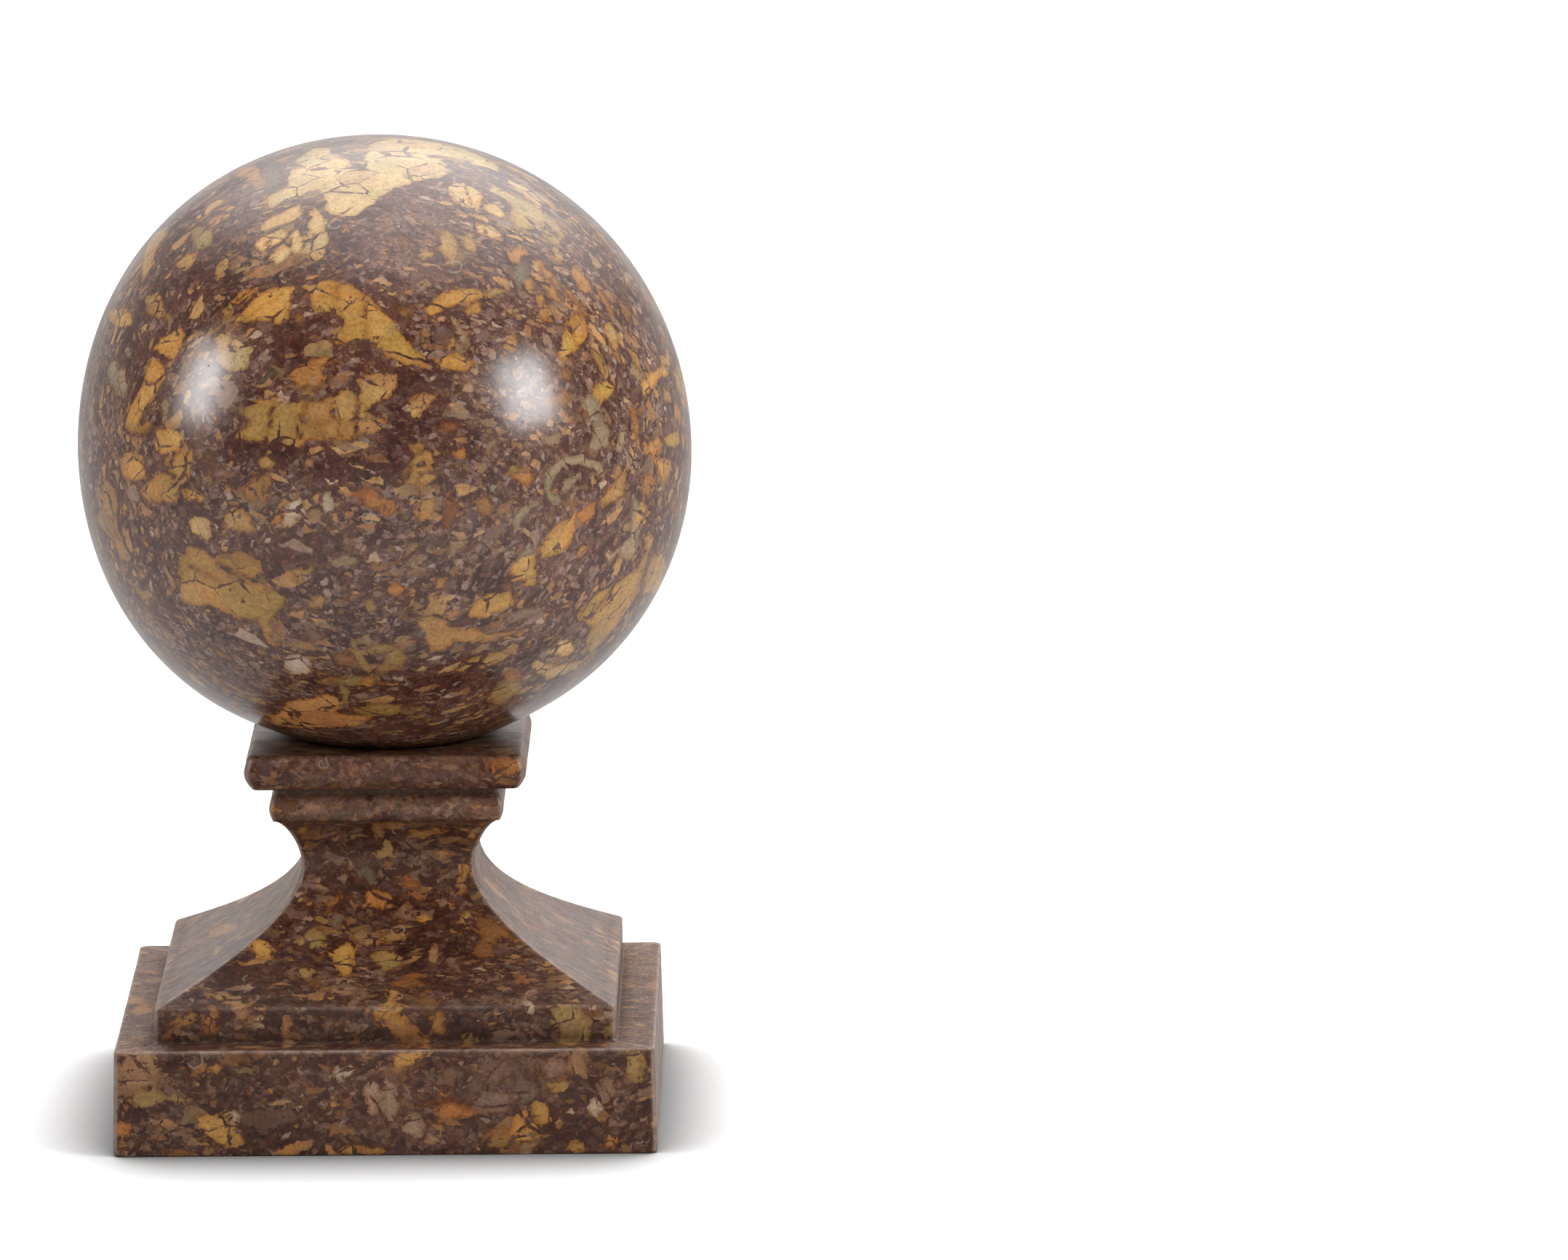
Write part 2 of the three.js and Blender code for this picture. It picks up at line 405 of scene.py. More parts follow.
BALL_CLASTS = {
    "gold": [
        [(418, 392), (450, 385), (482, 393), (510, 412), (532, 432), (552, 455), (570, 480), (598, 508),
         (560, 503), (530, 487), (506, 468), (490, 475), (462, 472), (452, 458), (470, 440), (432, 433)],
        [(372, 396), (404, 397), (398, 430), (391, 446), (350, 443), (322, 449), (340, 425), (356, 405)],
        [(308, 430), (330, 405), (358, 396), (338, 420), (316, 442)],
        [(212, 490), (226, 506), (228, 520), (214, 545), (198, 570), (185, 597), (172, 588), (178, 562),
         (200, 520)],
        [(222, 470), (238, 457), (253, 449), (257, 460), (250, 480), (244, 496), (229, 492), (213, 482)],
        [(152, 428), (166, 421), (181, 430), (185, 446), (172, 452), (154, 447)],
        [(164, 629), (180, 617), (196, 625), (201, 656), (185, 661), (169, 655)],
        [(214, 593), (234, 587), (255, 596), (252, 613), (240, 621), (225, 626), (212, 614)],
        [(262, 604), (267, 630), (262, 661), (249, 668), (243, 691), (229, 693), (204, 689), (191, 676),
         (207, 658), (225, 648), (229, 631), (246, 621)],
        [(245, 770), (260, 752), (278, 755), (296, 766), (330, 757), (353, 769), (361, 785), (352, 798),
         (366, 808), (389, 812), (396, 831), (372, 851), (376, 870), (389, 883), (379, 889), (364, 875),
         (357, 851), (337, 851), (314, 846), (294, 833), (270, 831), (249, 826), (247, 800), (251, 785)],
        [(858, 792), (881, 782), (879, 811), (866, 831), (851, 851), (836, 871), (809, 899), (804, 880),
         (814, 861), (799, 851), (794, 836), (820, 814), (845, 801)],
        [(894, 766), (911, 754), (914, 786), (901, 811), (882, 816), (884, 795)],
        [(794, 424), (806, 440), (811, 462), (796, 476), (781, 491), (772, 501), (767, 486), (775, 460),
         (785, 432)],
        [(580, 426), (600, 411), (616, 398), (636, 393), (661, 398), (661, 408), (640, 416), (612, 427),
         (590, 437)],
        [(640, 841), (655, 825), (680, 816), (703, 811), (706, 829), (690, 841), (664, 849), (644, 851)],
        [(747, 766), (741, 755), (752, 737), (770, 719), (789, 707), (791, 726), (786, 746), (770, 761)],
        [(884, 546), (884, 526), (900, 508), (916, 503), (923, 512), (906, 526), (894, 541)],
        [(914, 601), (936, 591), (939, 611), (920, 616)],
        [(902, 632), (926, 627), (923, 651), (915, 666), (907, 651)],
        [(817, 532), (835, 524), (849, 530), (843, 546), (828, 553), (817, 546)],
        [(597, 493), (620, 487), (641, 491), (656, 500), (640, 509), (604, 504)],
    ],
    "ochre": [
        [(330, 566), (355, 548), (400, 552), (452, 548), (480, 532), (492, 548), (502, 566), (530, 577),
         (524, 592), (480, 606), (430, 605), (408, 617), (350, 608), (326, 600), (343, 582)],
        [(488, 522), (515, 511), (548, 514), (544, 536), (526, 553), (502, 565), (491, 547), (497, 536)],
        [(200, 352), (215, 328), (236, 313), (233, 328), (222, 342), (215, 366), (204, 384), (199, 396)],
        [(245, 366), (262, 350), (276, 352), (270, 366), (252, 379)],
        [(299, 372), (314, 352), (326, 349), (323, 366), (312, 381), (299, 389)],
        [(203, 411), (220, 404), (228, 424), (240, 441), (222, 440), (204, 433)],
        [(140, 655), (156, 665), (164, 695), (161, 724), (171, 745), (183, 766), (168, 771), (158, 746),
         (144, 731), (132, 716), (140, 690)],
        [(562, 552), (578, 540), (599, 546), (588, 562), (572, 578), (560, 566)],
        [(565, 610), (580, 604), (591, 624), (603, 656), (590, 667), (560, 669), (547, 659), (558, 645),
         (571, 630)],
        [(318, 700), (335, 694), (346, 714), (349, 731), (325, 729), (307, 736), (312, 716)],
        [(424, 825), (440, 817), (449, 822), (435, 836), (422, 833)],
        [(572, 852), (590, 844), (609, 850), (621, 860), (650, 866), (680, 869), (716, 867), (726, 873),
         (690, 881), (650, 886), (624, 881), (606, 899), (590, 896), (581, 876)],
        [(625, 921), (650, 904), (690, 894), (702, 900), (680, 913), (650, 926)],
        [(484, 976), (520, 967), (551, 971), (546, 983), (500, 986)],
        [(499, 896), (520, 884), (546, 889), (562, 905), (550, 921), (525, 926), (504, 915), (528, 912),
         (530, 898)],
        [(825, 691), (840, 669), (856, 651), (863, 655), (859, 681), (840, 691), (830, 698)],
        [(844, 452), (853, 468), (852, 492), (842, 474)],
        [(908, 490), (922, 481), (926, 500), (915, 504)],
        [(913, 530), (925, 540), (927, 556), (917, 552)],
        [(355, 631), (370, 626), (384, 638), (371, 649), (358, 646)],
        [(693, 465), (708, 459), (711, 480), (695, 486)],
        [(611, 469), (625, 464), (631, 476), (617, 481)],
        [(564, 697), (584, 684), (599, 690), (596, 706), (580, 716), (569, 706)],
        [(520, 204), (560, 199), (600, 206), (596, 216), (560, 222), (524, 218)],
    ],
    "orange": [
        [(398, 508), (425, 498), (450, 488), (458, 497), (442, 508), (450, 522), (438, 532), (408, 534),
         (396, 524)],
        [(325, 240), (345, 229), (359, 235), (363, 260), (350, 262), (344, 250), (326, 249)],
        [(750, 383), (765, 398), (777, 420), (765, 417), (752, 398)],
        [(784, 362), (800, 370), (816, 392), (819, 403), (801, 399), (790, 380)],
        [(735, 404), (748, 399), (753, 424), (762, 441), (745, 437), (737, 420)],
        [(699, 650), (722, 644), (736, 656), (728, 671), (711, 662)],
        [(329, 676), (345, 659), (372, 649), (376, 664), (364, 680), (373, 696), (358, 701), (345, 689)],
        [(357, 706), (380, 697), (391, 701), (385, 716), (369, 723)],
        [(789, 706), (805, 694), (821, 692), (816, 711), (800, 723)],
        [(884, 611), (905, 599), (913, 612), (905, 626), (888, 626)],
        [(498, 932), (521, 929), (511, 946), (490, 951)],
        [(534, 806), (548, 798), (557, 808), (552, 820), (538, 822)],
        [(735, 358), (742, 356), (760, 376), (774, 396), (768, 396), (750, 378)],
        [(776, 398), (784, 398), (800, 414), (812, 432), (804, 430), (788, 414)],
        [(822, 396), (830, 400), (842, 420), (848, 436), (840, 430), (830, 414)],
        [(756, 352), (766, 352), (782, 364), (776, 368)],
        [(930, 550), (938, 560), (940, 585), (931, 575)],
        [(692, 925), (715, 922), (720, 935), (700, 945)],
        [(868, 566), (874, 560), (882, 588), (878, 604), (872, 590)],
        [(884, 660), (896, 652), (904, 664), (896, 684), (886, 678)],
        [(480, 680), (500, 671), (522, 682), (546, 690), (545, 706), (530, 713), (519, 701), (498, 696)],
        [(700, 345), (716, 336), (728, 348), (716, 362), (704, 358)],
        [(718, 384), (730, 380), (738, 396), (726, 404)],
    ],
    "amber": [
        [(371, 985), (396, 964), (450, 954), (471, 964), (460, 980), (511, 986), (500, 998), (440, 1001),
         (374, 995)],
    ],
    "rust": [
        [(604, 580), (620, 577), (634, 589), (620, 596), (607, 591)],
        [(609, 690), (625, 684), (633, 700), (622, 722), (614, 736), (611, 715)],
    ],
    "olive": [
        [(262, 320), (276, 312), (295, 321), (297, 340), (276, 346), (264, 336)],
        [(600, 322), (618, 317), (631, 335), (636, 356), (622, 366), (607, 345)],
        [(574, 352), (586, 332), (598, 350), (585, 358)],
        [(664, 402), (700, 395), (692, 407), (670, 412)],
        [(705, 268), (736, 280), (753, 291), (746, 313), (714, 316), (700, 300)],
        [(744, 312), (760, 317), (773, 333), (764, 337), (750, 326)],
        [(459, 935), (480, 924), (498, 931), (486, 950), (478, 970), (462, 976), (470, 955)],
        [(399, 785), (428, 777), (431, 790), (410, 801)],
        [(668, 962), (684, 938), (712, 932), (722, 944), (704, 960), (684, 972)],
        [(832, 440), (845, 446), (853, 462), (847, 478), (836, 462)],
        [(500, 826), (512, 822), (516, 836), (504, 842)],
        [(640, 318), (652, 322), (656, 342), (644, 350), (636, 334)],
        [(742, 288), (762, 300), (784, 322), (776, 328), (756, 310), (742, 298)],
        [(700, 640), (712, 636), (716, 646), (704, 650)],
    ],
    "pale": [
        # This pale clast lies in the left softbox's highlight, and its pale colour is partly a painted
        # highlight.
        [(298, 458), (330, 462), (346, 480), (343, 505), (318, 512), (298, 498)],
        [(398, 244), (408, 222), (430, 206), (456, 204), (470, 216), (500, 222), (506, 200), (540, 190),
         (580, 192), (640, 204), (684, 224), (690, 236), (640, 222), (604, 218), (620, 232), (604, 244),
         (572, 249), (542, 260), (524, 270), (510, 284), (492, 298), (466, 300), (450, 294), (446, 272),
         (438, 262), (410, 274), (388, 284), (366, 290), (362, 280), (380, 268), (396, 260)],
        [(366, 304), (392, 292), (414, 284), (420, 292), (402, 308), (376, 316), (356, 322)],
        [(352, 340), (366, 326), (388, 318), (398, 322), (384, 336), (362, 350)],
        [(372, 356), (388, 340), (404, 342), (396, 356), (380, 366)],
        [(672, 252), (696, 262), (724, 282), (712, 284), (688, 270), (670, 260)],
        [(700, 246), (726, 258), (752, 282), (744, 286), (720, 266), (700, 254)],
        [(652, 306), (676, 310), (690, 324), (676, 328), (656, 318)],
        [(424, 300), (432, 284), (446, 296), (452, 326), (447, 354), (430, 362), (416, 350), (424, 326)],
        [(398, 330), (410, 318), (422, 334), (416, 352), (404, 350)],
        [(614, 256), (640, 250), (662, 266), (664, 296), (640, 286), (620, 272)],
        [(664, 278), (680, 280), (700, 296), (690, 300), (668, 290)],
        [(262, 715), (275, 704), (291, 720), (291, 746), (278, 741), (264, 731)],
        [(751, 896), (770, 879), (786, 877), (791, 896), (770, 901)],
        [(730, 905), (760, 915), (800, 905), (790, 920), (755, 935), (735, 925)],
    ],
    "bone": [
        [(441, 680), (455, 671), (461, 700), (449, 706)],
        [(397, 690), (415, 684), (420, 711), (400, 723), (384, 729), (389, 709)],
        [(389, 905), (410, 894), (426, 904), (426, 926), (404, 926), (391, 918)],
        # The small white specks at (625, 773), (829, 763) and (697, 838) are partly painted glints.
        [(625, 773), (633, 768), (641, 775), (634, 782)],
        [(829, 763), (836, 757), (843, 764), (836, 772)],
        [(653, 441), (659, 436), (664, 445), (657, 450)],
        [(697, 838), (702, 833), (706, 840), (700, 845)],
    ],
    "burnt": [
        [(649, 691), (665, 679), (679, 696), (675, 713), (659, 706)],
        [(546, 330), (560, 326), (570, 338), (556, 344)],
        [(852, 410), (862, 412), (874, 432), (866, 440), (856, 426)],
    ],
    "shell": [
        [(148, 505), (160, 494), (172, 506), (178, 528), (172, 550), (162, 546), (152, 525)],
        [(798, 548), (810, 540), (823, 548), (830, 570), (838, 592), (836, 612), (822, 621), (810, 616),
         (819, 600), (816, 582), (804, 572), (798, 560)],
        [(748, 672), (748, 650), (760, 635), (778, 628), (800, 627), (816, 632), (829, 643), (832, 654),
         (822, 653),
         (808, 643), (794, 640), (776, 644), (763, 655), (760, 672), (772, 690), (764, 702), (752, 688)],
        [(768, 676), (778, 661), (796, 651), (801, 656), (786, 668), (776, 682)],
        [(704, 730), (707, 708), (719, 694), (744, 686), (742, 696), (726, 704), (718, 716), (716, 732)],
        [(868, 690), (878, 684), (881, 720), (877, 760), (862, 772), (842, 762), (852, 748), (866, 738)],
        [(857, 586), (865, 582), (863, 605), (855, 623), (848, 618)],
        [(120, 560), (128, 548), (131, 580), (124, 590)],
        [(750, 600), (768, 594), (776, 606), (760, 614), (748, 612)],
        [(262, 560), (272, 556), (276, 590), (268, 600)],
    ],
    "slate": [
        [(364, 232), (382, 228), (388, 250), (382, 270), (366, 266)],
        [(350, 530), (370, 505), (382, 512), (372, 528)],
        [(706, 366), (722, 362), (730, 384), (716, 398), (706, 384)],
        [(560, 868), (584, 862), (592, 874), (572, 880)],
    ],
}

# Curled shells: centre pixel, radius and width in pixels, and the arc's start and end in degrees
SHELL_CURLS = [
    ((800, 690), 20, 6, 60, 230), ((583, 770), 14, 5, 30, 260), ((728, 772), 15, 5, 60, 200),
    ((300, 330), 16, 5, -60, 70), ((345, 560), 16, 4, 120, 260), ((690, 620), 18, 5, 40, 190),
    ((880, 690), 30, 5, 130, 240), ((215, 820), 16, 4, 150, 300), ((655, 360), 18, 4, 90, 200),
]

# Dark cracks across the clasts of the ball: the pixels of their ends, and their width in mm
CLAST_CUTS = [
    ((446, 441), (462, 445), 6.5), ((497, 410), (505, 470), 1.4), ((462, 394), (470, 474), 1.0),
    ((342, 402), (310, 436), 1.4),
    ((388, 404), (332, 446), 1.0), ((262, 776), (298, 796), 1.8), ((300, 777), (352, 799), 1.8),
    ((220, 640), (241, 657), 1.5), ((246, 622), (228, 646), 1.2), ((420, 552), (412, 604), 1.3),
    ((455, 550), (470, 598), 1.2), ((380, 556), (366, 606), 1.2), ((492, 556), (486, 602), 1.3),
    ((412, 586), (486, 576), 1.2), ((652, 850), (672, 868), 1.8), ((836, 812), (812, 846), 1.3),
    ((524, 694), (536, 702), 1.2), ((788, 452), (794, 474), 1.0), ((412, 276), (424, 318), 2.4),
    ((430, 268), (424, 300), 2.0), ((458, 210), (500, 234), 3.0), ((592, 214), (640, 220), 2.6),
    ((556, 640), (600, 634), 1.3), ((552, 655), (604, 650), 1.3), ((562, 622), (596, 618), 1.3),
    ((498, 676), (494, 700), 1.6), ((580, 688), (574, 712), 1.3), ((640, 252), (652, 292), 1.4),
    ((350, 356), (400, 310), 1.6), ((416, 330), (452, 318), 1.2),
]

PEDESTAL_CLASTS = {
    "gold": [
        [(452, 1304), (470, 1298), (484, 1302), (487, 1318), (482, 1342), (470, 1344), (461, 1326)],
        [(514, 1392), (524, 1380), (545, 1380), (562, 1383), (556, 1394), (536, 1402), (520, 1399)],
        [(467, 1584), (484, 1576), (520, 1579), (532, 1588), (480, 1591)],
        [(268, 1542), (290, 1532), (312, 1535), (322, 1548), (334, 1572), (325, 1580), (300, 1576),
         (280, 1562)],
        [(536, 1450), (560, 1444), (598, 1444), (592, 1452), (566, 1462), (556, 1470), (540, 1466)],
        [(700, 1560), (706, 1540), (722, 1530), (732, 1545), (746, 1560), (742, 1568), (716, 1574)],
        [(728, 1530), (738, 1520), (752, 1516), (757, 1540), (748, 1548), (738, 1540)],
        [(340, 1305), (350, 1292), (362, 1296), (378, 1306), (372, 1314), (352, 1318)],
    ],
    "ochre": [
        [(524, 1284), (540, 1279), (558, 1284), (552, 1293), (532, 1295)],
        [(528, 1366), (545, 1360), (554, 1370), (536, 1377)],
        [(636, 1180), (650, 1186), (647, 1200), (641, 1216), (632, 1232), (626, 1218)],
        [(672, 1556), (686, 1549), (701, 1556), (705, 1570), (690, 1581), (671, 1575)],
        [(540, 1462), (557, 1466), (552, 1479), (540, 1475)],
        [(778, 1581), (790, 1568), (803, 1574), (801, 1587), (784, 1589)],
        [(668, 1568), (690, 1560), (700, 1568), (690, 1578)],
        [(248, 1470), (275, 1468), (300, 1462), (310, 1470), (300, 1480), (270, 1476)],
        [(550, 1145), (590, 1138), (620, 1142), (600, 1150), (560, 1152)],
        [(622, 1188), (635, 1180), (640, 1195), (636, 1210), (625, 1208)],
    ],
    "orange": [
        [(279, 1390), (292, 1385), (300, 1398), (300, 1420), (290, 1426), (280, 1418)],
        [(516, 1392), (530, 1385), (545, 1388), (560, 1400), (565, 1412), (578, 1420), (590, 1428),
         (588, 1438), (560, 1438), (545, 1430), (528, 1415), (518, 1405)],
        [(592, 1398), (606, 1392), (614, 1405), (612, 1422), (600, 1428), (594, 1415)],
        [(500, 1232), (512, 1223), (530, 1225), (541, 1235), (538, 1246), (515, 1250), (500, 1247)],
        [(156, 1540), (175, 1538), (181, 1550), (172, 1566), (156, 1568)],
        [(372, 1108), (384, 1104), (388, 1116), (376, 1120)],
        [(592, 1525), (610, 1517), (640, 1521), (656, 1534), (632, 1539), (601, 1541)],
        [(828, 1562), (838, 1557), (847, 1566), (843, 1581), (829, 1581)],
    ],
    "burnt": [
        [(651, 1265), (660, 1257), (677, 1262), (691, 1272), (704, 1284), (713, 1293), (700, 1295),
         (684, 1292), (677, 1302), (677, 1315), (660, 1317), (647, 1309), (655, 1296), (667, 1284),
         (653, 1278)],
        [(540, 1351), (565, 1346), (587, 1352), (570, 1359), (545, 1359)],
        [(548, 1341), (575, 1337), (592, 1342), (570, 1347)],
        [(572, 1368), (588, 1361), (603, 1376), (597, 1391), (580, 1385)],
        [(316, 1456), (332, 1447), (347, 1454), (338, 1465), (322, 1465)],
        [(345, 1540), (360, 1531), (374, 1538), (362, 1549)],
        [(205, 1593), (225, 1585), (262, 1583), (269, 1594)],
        [(705, 1350), (722, 1342), (740, 1346), (728, 1356)],
    ],
    "ash": [
        [(442, 1176), (450, 1165), (466, 1176), (486, 1194), (470, 1191), (452, 1189)],
        [(546, 1158), (560, 1151), (579, 1154), (581, 1165), (560, 1169)],
        [(408, 1214), (430, 1205), (446, 1216), (464, 1224), (440, 1229), (418, 1223)],
        [(602, 1247), (612, 1235), (617, 1246), (606, 1255)],
        [(407, 1262), (420, 1251), (429, 1256), (414, 1267)],
        [(451, 1260), (462, 1253), (473, 1262), (468, 1279), (457, 1273)],
        [(536, 1262), (560, 1246), (598, 1250), (592, 1262), (560, 1268)],
        [(393, 1338), (404, 1329), (413, 1336), (402, 1345)],
        [(615, 1322), (626, 1317), (638, 1337), (630, 1343)],
        [(479, 1372), (494, 1361), (505, 1368), (494, 1385), (480, 1389), (471, 1384)],
        [(439, 1408), (452, 1403), (463, 1418), (450, 1427)],
        [(477, 1410), (492, 1403), (501, 1416), (488, 1425)],
        [(699, 1381), (725, 1363), (744, 1357), (737, 1368), (712, 1385)],
        [(283, 1490), (296, 1483), (299, 1500), (288, 1513), (279, 1506)],
        [(217, 1488), (224, 1477), (233, 1486), (226, 1497)],
        [(239, 1488), (250, 1479), (257, 1488), (246, 1495)],
        [(191, 1582), (200, 1571), (213, 1576), (206, 1585)],
        [(381, 1484), (396, 1477), (411, 1494), (404, 1503), (391, 1498)],
        [(741, 1470), (756, 1455), (777, 1451), (781, 1474), (764, 1485), (746, 1487)],
        [(821, 1490), (836, 1479), (853, 1490), (846, 1509), (830, 1513)],
        [(639, 1506), (670, 1497), (701, 1506), (705, 1528), (676, 1535), (648, 1529)],
        [(639, 1492), (654, 1481), (669, 1486), (664, 1503), (648, 1507)],
        [(646, 1470), (668, 1452), (694, 1456), (706, 1472), (690, 1486), (664, 1484)],
        [(704, 1488), (722, 1478), (744, 1494), (738, 1514), (716, 1518), (704, 1504)],
        [(708, 1452), (730, 1448), (744, 1458), (730, 1472), (712, 1468)],
        [(602, 1474), (622, 1464), (640, 1474), (630, 1490), (610, 1492)],
        [(480, 1100), (500, 1096), (520, 1104), (500, 1112)],
        [(400, 1060), (425, 1052), (440, 1062), (418, 1070)],
        [(600, 1056), (625, 1050), (650, 1058), (625, 1066)],
        [(570, 1100), (590, 1094), (606, 1102), (588, 1110)],
    ],
    "fawn": [
        [(500, 1500), (512, 1482), (524, 1500), (520, 1530), (506, 1532)],
        [(526, 1484), (542, 1490), (552, 1520), (546, 1538), (534, 1542), (527, 1520)],
        [(552, 1545), (570, 1530), (584, 1548), (576, 1566), (556, 1562)],
    ],
    "rust": [
        [(572, 1518), (590, 1510), (618, 1512), (645, 1516), (656, 1526), (628, 1518), (600, 1519),
         (580, 1526)],
    ],
    "olive": [
        [(171, 1513), (186, 1500), (215, 1497), (245, 1504), (263, 1512), (252, 1521), (230, 1512),
         (216, 1525), (196, 1529), (183, 1521)],
        [(405, 1295), (420, 1288), (430, 1278), (437, 1272), (445, 1285), (450, 1298), (440, 1308),
         (412, 1304)],
        [(508, 1310), (530, 1305), (552, 1315), (556, 1330), (530, 1335), (512, 1325)],
        [(630, 1262), (640, 1252), (650, 1258), (645, 1275), (632, 1285), (618, 1280)],
        [(750, 1388), (780, 1382), (800, 1388), (815, 1400), (812, 1430), (790, 1438), (765, 1435),
         (765, 1418)],
        [(830, 1412), (842, 1405), (848, 1418), (840, 1428), (832, 1425)],
        [(632, 1425), (650, 1423), (658, 1432), (640, 1438)],
        [(752, 1490), (764, 1482), (778, 1490), (780, 1498), (762, 1502), (754, 1498)],
        [(400, 1335), (420, 1330), (435, 1338), (430, 1348), (408, 1346)],
        [(290, 1368), (320, 1366), (350, 1370), (350, 1378), (315, 1376), (292, 1372)],
        [(512, 1178), (525, 1165), (532, 1152), (540, 1165), (545, 1175), (530, 1180)],
        [(857, 1450), (872, 1443), (885, 1456), (883, 1484), (868, 1491), (859, 1475)],
    ],
    "tan": [
        [(155, 1478), (172, 1450), (217, 1446), (216, 1498), (196, 1500), (175, 1500), (156, 1512)],
        [(781, 1446), (800, 1441), (809, 1460), (807, 1485), (792, 1491), (783, 1470)],
        [(482, 1285), (500, 1277), (519, 1280), (525, 1290), (514, 1301), (492, 1303), (483, 1294)],
        [(763, 1548), (770, 1535), (777, 1544), (772, 1555)],
        [(590, 1300), (602, 1298), (600, 1325), (590, 1330)],
        [(462, 1155), (468, 1150), (486, 1190), (480, 1195)],
        [(420, 1212), (440, 1208), (462, 1225), (440, 1228)],
        [(755, 1335), (772, 1330), (762, 1340), (735, 1350)],
    ],
    "bone": [
        [(453, 1478), (462, 1468), (480, 1462), (489, 1472), (480, 1484), (464, 1489)],
        [(345, 1402), (358, 1399), (372, 1408), (366, 1413), (350, 1410)],
        [(722, 1388), (733, 1376), (733, 1394), (726, 1396)],
        [(812, 1385), (818, 1382), (819, 1396), (813, 1396)],
        [(305, 1530), (318, 1523), (333, 1536), (322, 1545)],
        [(403, 1520), (414, 1513), (421, 1522), (410, 1527)],
        [(807, 1522), (818, 1511), (833, 1520), (828, 1533), (816, 1531)],
        [(775, 1530), (786, 1521), (795, 1530), (784, 1539)],
    ],
    "slate": [
        [(455, 1118), (475, 1108), (490, 1112), (478, 1124), (460, 1126)],
        [(535, 1118), (550, 1108), (556, 1118), (545, 1128)],
        [(519, 1078), (528, 1062), (535, 1066), (528, 1084)],
    ],
}

# Broad tints of the ground: centre pixel, radii across and up in pixels
BALL_ZONES = {
    "deep": [((335, 322), 45, 30), ((290, 378), 50, 30), ((405, 475), 42, 28), ((385, 748), 55, 28),
             ((560, 520), 60, 26), ((470, 655), 60, 22), ((200, 480), 34, 30), ((520, 425), 30, 22),
             ((740, 345), 45, 22), ((330, 490), 20, 20), ((610, 945), 60, 30), ((560, 1000), 90, 16),
             ((236, 345), 34, 46), ((640, 490), 44, 30), ((210, 420), 30, 26), ((600, 372), 60, 18),
             ((420, 745), 44, 34), ((505, 810), 26, 40), ((178, 470), 26, 34), ((352, 622), 40, 20)],
    "drab": [((290, 885), 110, 60), ((128, 540), 34, 100), ((885, 425), 50, 90), ((690, 545), 80, 90),
             ((610, 760), 120, 50), ((690, 640), 70, 40), ((470, 850), 70, 50), ((830, 560), 60, 80),
             ((230, 545), 26, 60), ((640, 460), 50, 50)],
    "mauve": [((570, 300), 80, 50), ((770, 775), 50, 24), ((740, 870), 40, 30), ((550, 360), 70, 34),
              ((450, 600), 30, 16), ((700, 300), 30, 16)],
    "ash": [((215, 860), 50, 44)],
    "rubble": [((790, 400), 56, 56), ((560, 692), 110, 26), ((345, 690), 50, 44), ((895, 530), 36, 60),
               ((150, 440), 40, 44), ((600, 480), 50, 30), ((690, 320), 60, 40), ((490, 920), 60, 50),
               ((640, 850), 80, 40), ((770, 900), 70, 50), ((372, 340), 60, 60), ((870, 640), 40, 50)],
}
# On the pedestal, the deep and dusk tints of the neck and the sweep are partly painted shade under the cap.
PEDESTAL_ZONES = {
    "deep": [((420, 1370), 60, 30), ((640, 1360), 70, 26), ((330, 1340), 50, 24), ((480, 1210), 50, 30),
             ((580, 1265), 50, 16), ((640, 1420), 60, 20), ((400, 1560), 60, 20), ((790, 1560), 50, 20)],
    "dusk": [((530, 1180), 120, 44), ((400, 1375), 70, 30), ((660, 1372), 70, 30), ((560, 1300), 60, 40),
             ((330, 1560), 60, 20), ((880, 1540), 30, 40)],
    "drab": [((530, 1190), 60, 16), ((450, 1360), 60, 22), ((340, 1420), 70, 18), ((690, 1380), 60, 16),
             ((430, 1440), 80, 26), ((840, 1520), 40, 40), ((250, 1560), 60, 22)],
    "ash": [((525, 1530), 36, 34), ((548, 1524), 28, 24), ((700, 1490), 60, 30), ((520, 1068), 60, 16)],
    "fawn": [((430, 1108), 70, 22), ((530, 1108), 70, 22), ((620, 1108), 70, 22)],
    "mauve": [((450, 1060), 100, 26), ((610, 1060), 100, 26),
              ((420, 1480), 50, 30), ((600, 1560), 70, 18), ((530, 1520), 70, 46)],
}

# Colours of the clasts and the ground by kind, as the light that each throws back
STONE = {
    "gold": (0.455, 0.258, 0.072),
    "ochre": (0.375, 0.212, 0.074),
    "orange": (0.385, 0.180, 0.056),
    "amber": (0.560, 0.265, 0.090),
    "burnt": (0.240, 0.115, 0.042),
    "rust": (0.190, 0.074, 0.028),
    "olive": (0.335, 0.225, 0.085),
    "pale": (0.520, 0.362, 0.158),
    "shell": (0.290, 0.218, 0.142),
    "tan": (0.330, 0.192, 0.100),
    "bone": (0.460, 0.360, 0.280),
    "slate": (0.150, 0.110, 0.082),
    "ground": (0.092, 0.036, 0.024),
    "deep": (0.062, 0.021, 0.014),
    "drab": (0.100, 0.056, 0.038),
    "mauve": (0.130, 0.072, 0.060),
    "earth": (0.076, 0.032, 0.021),
    "dusk": (0.045, 0.018, 0.012),
    "ash": (0.215, 0.138, 0.104),
    "fawn": (0.330, 0.225, 0.165),
    "rubble": (0.092, 0.036, 0.024),
}
# How thickly fragments fill each kind of ground
BUSY = {
    "ground": 0.74, "deep": 0.22, "drab": 1.0, "rubble": 1.3, "fawn": 0.5,
    "mauve": 0.58, "earth": 0.85, "ash": 0.8, "dusk": 0.42,
}
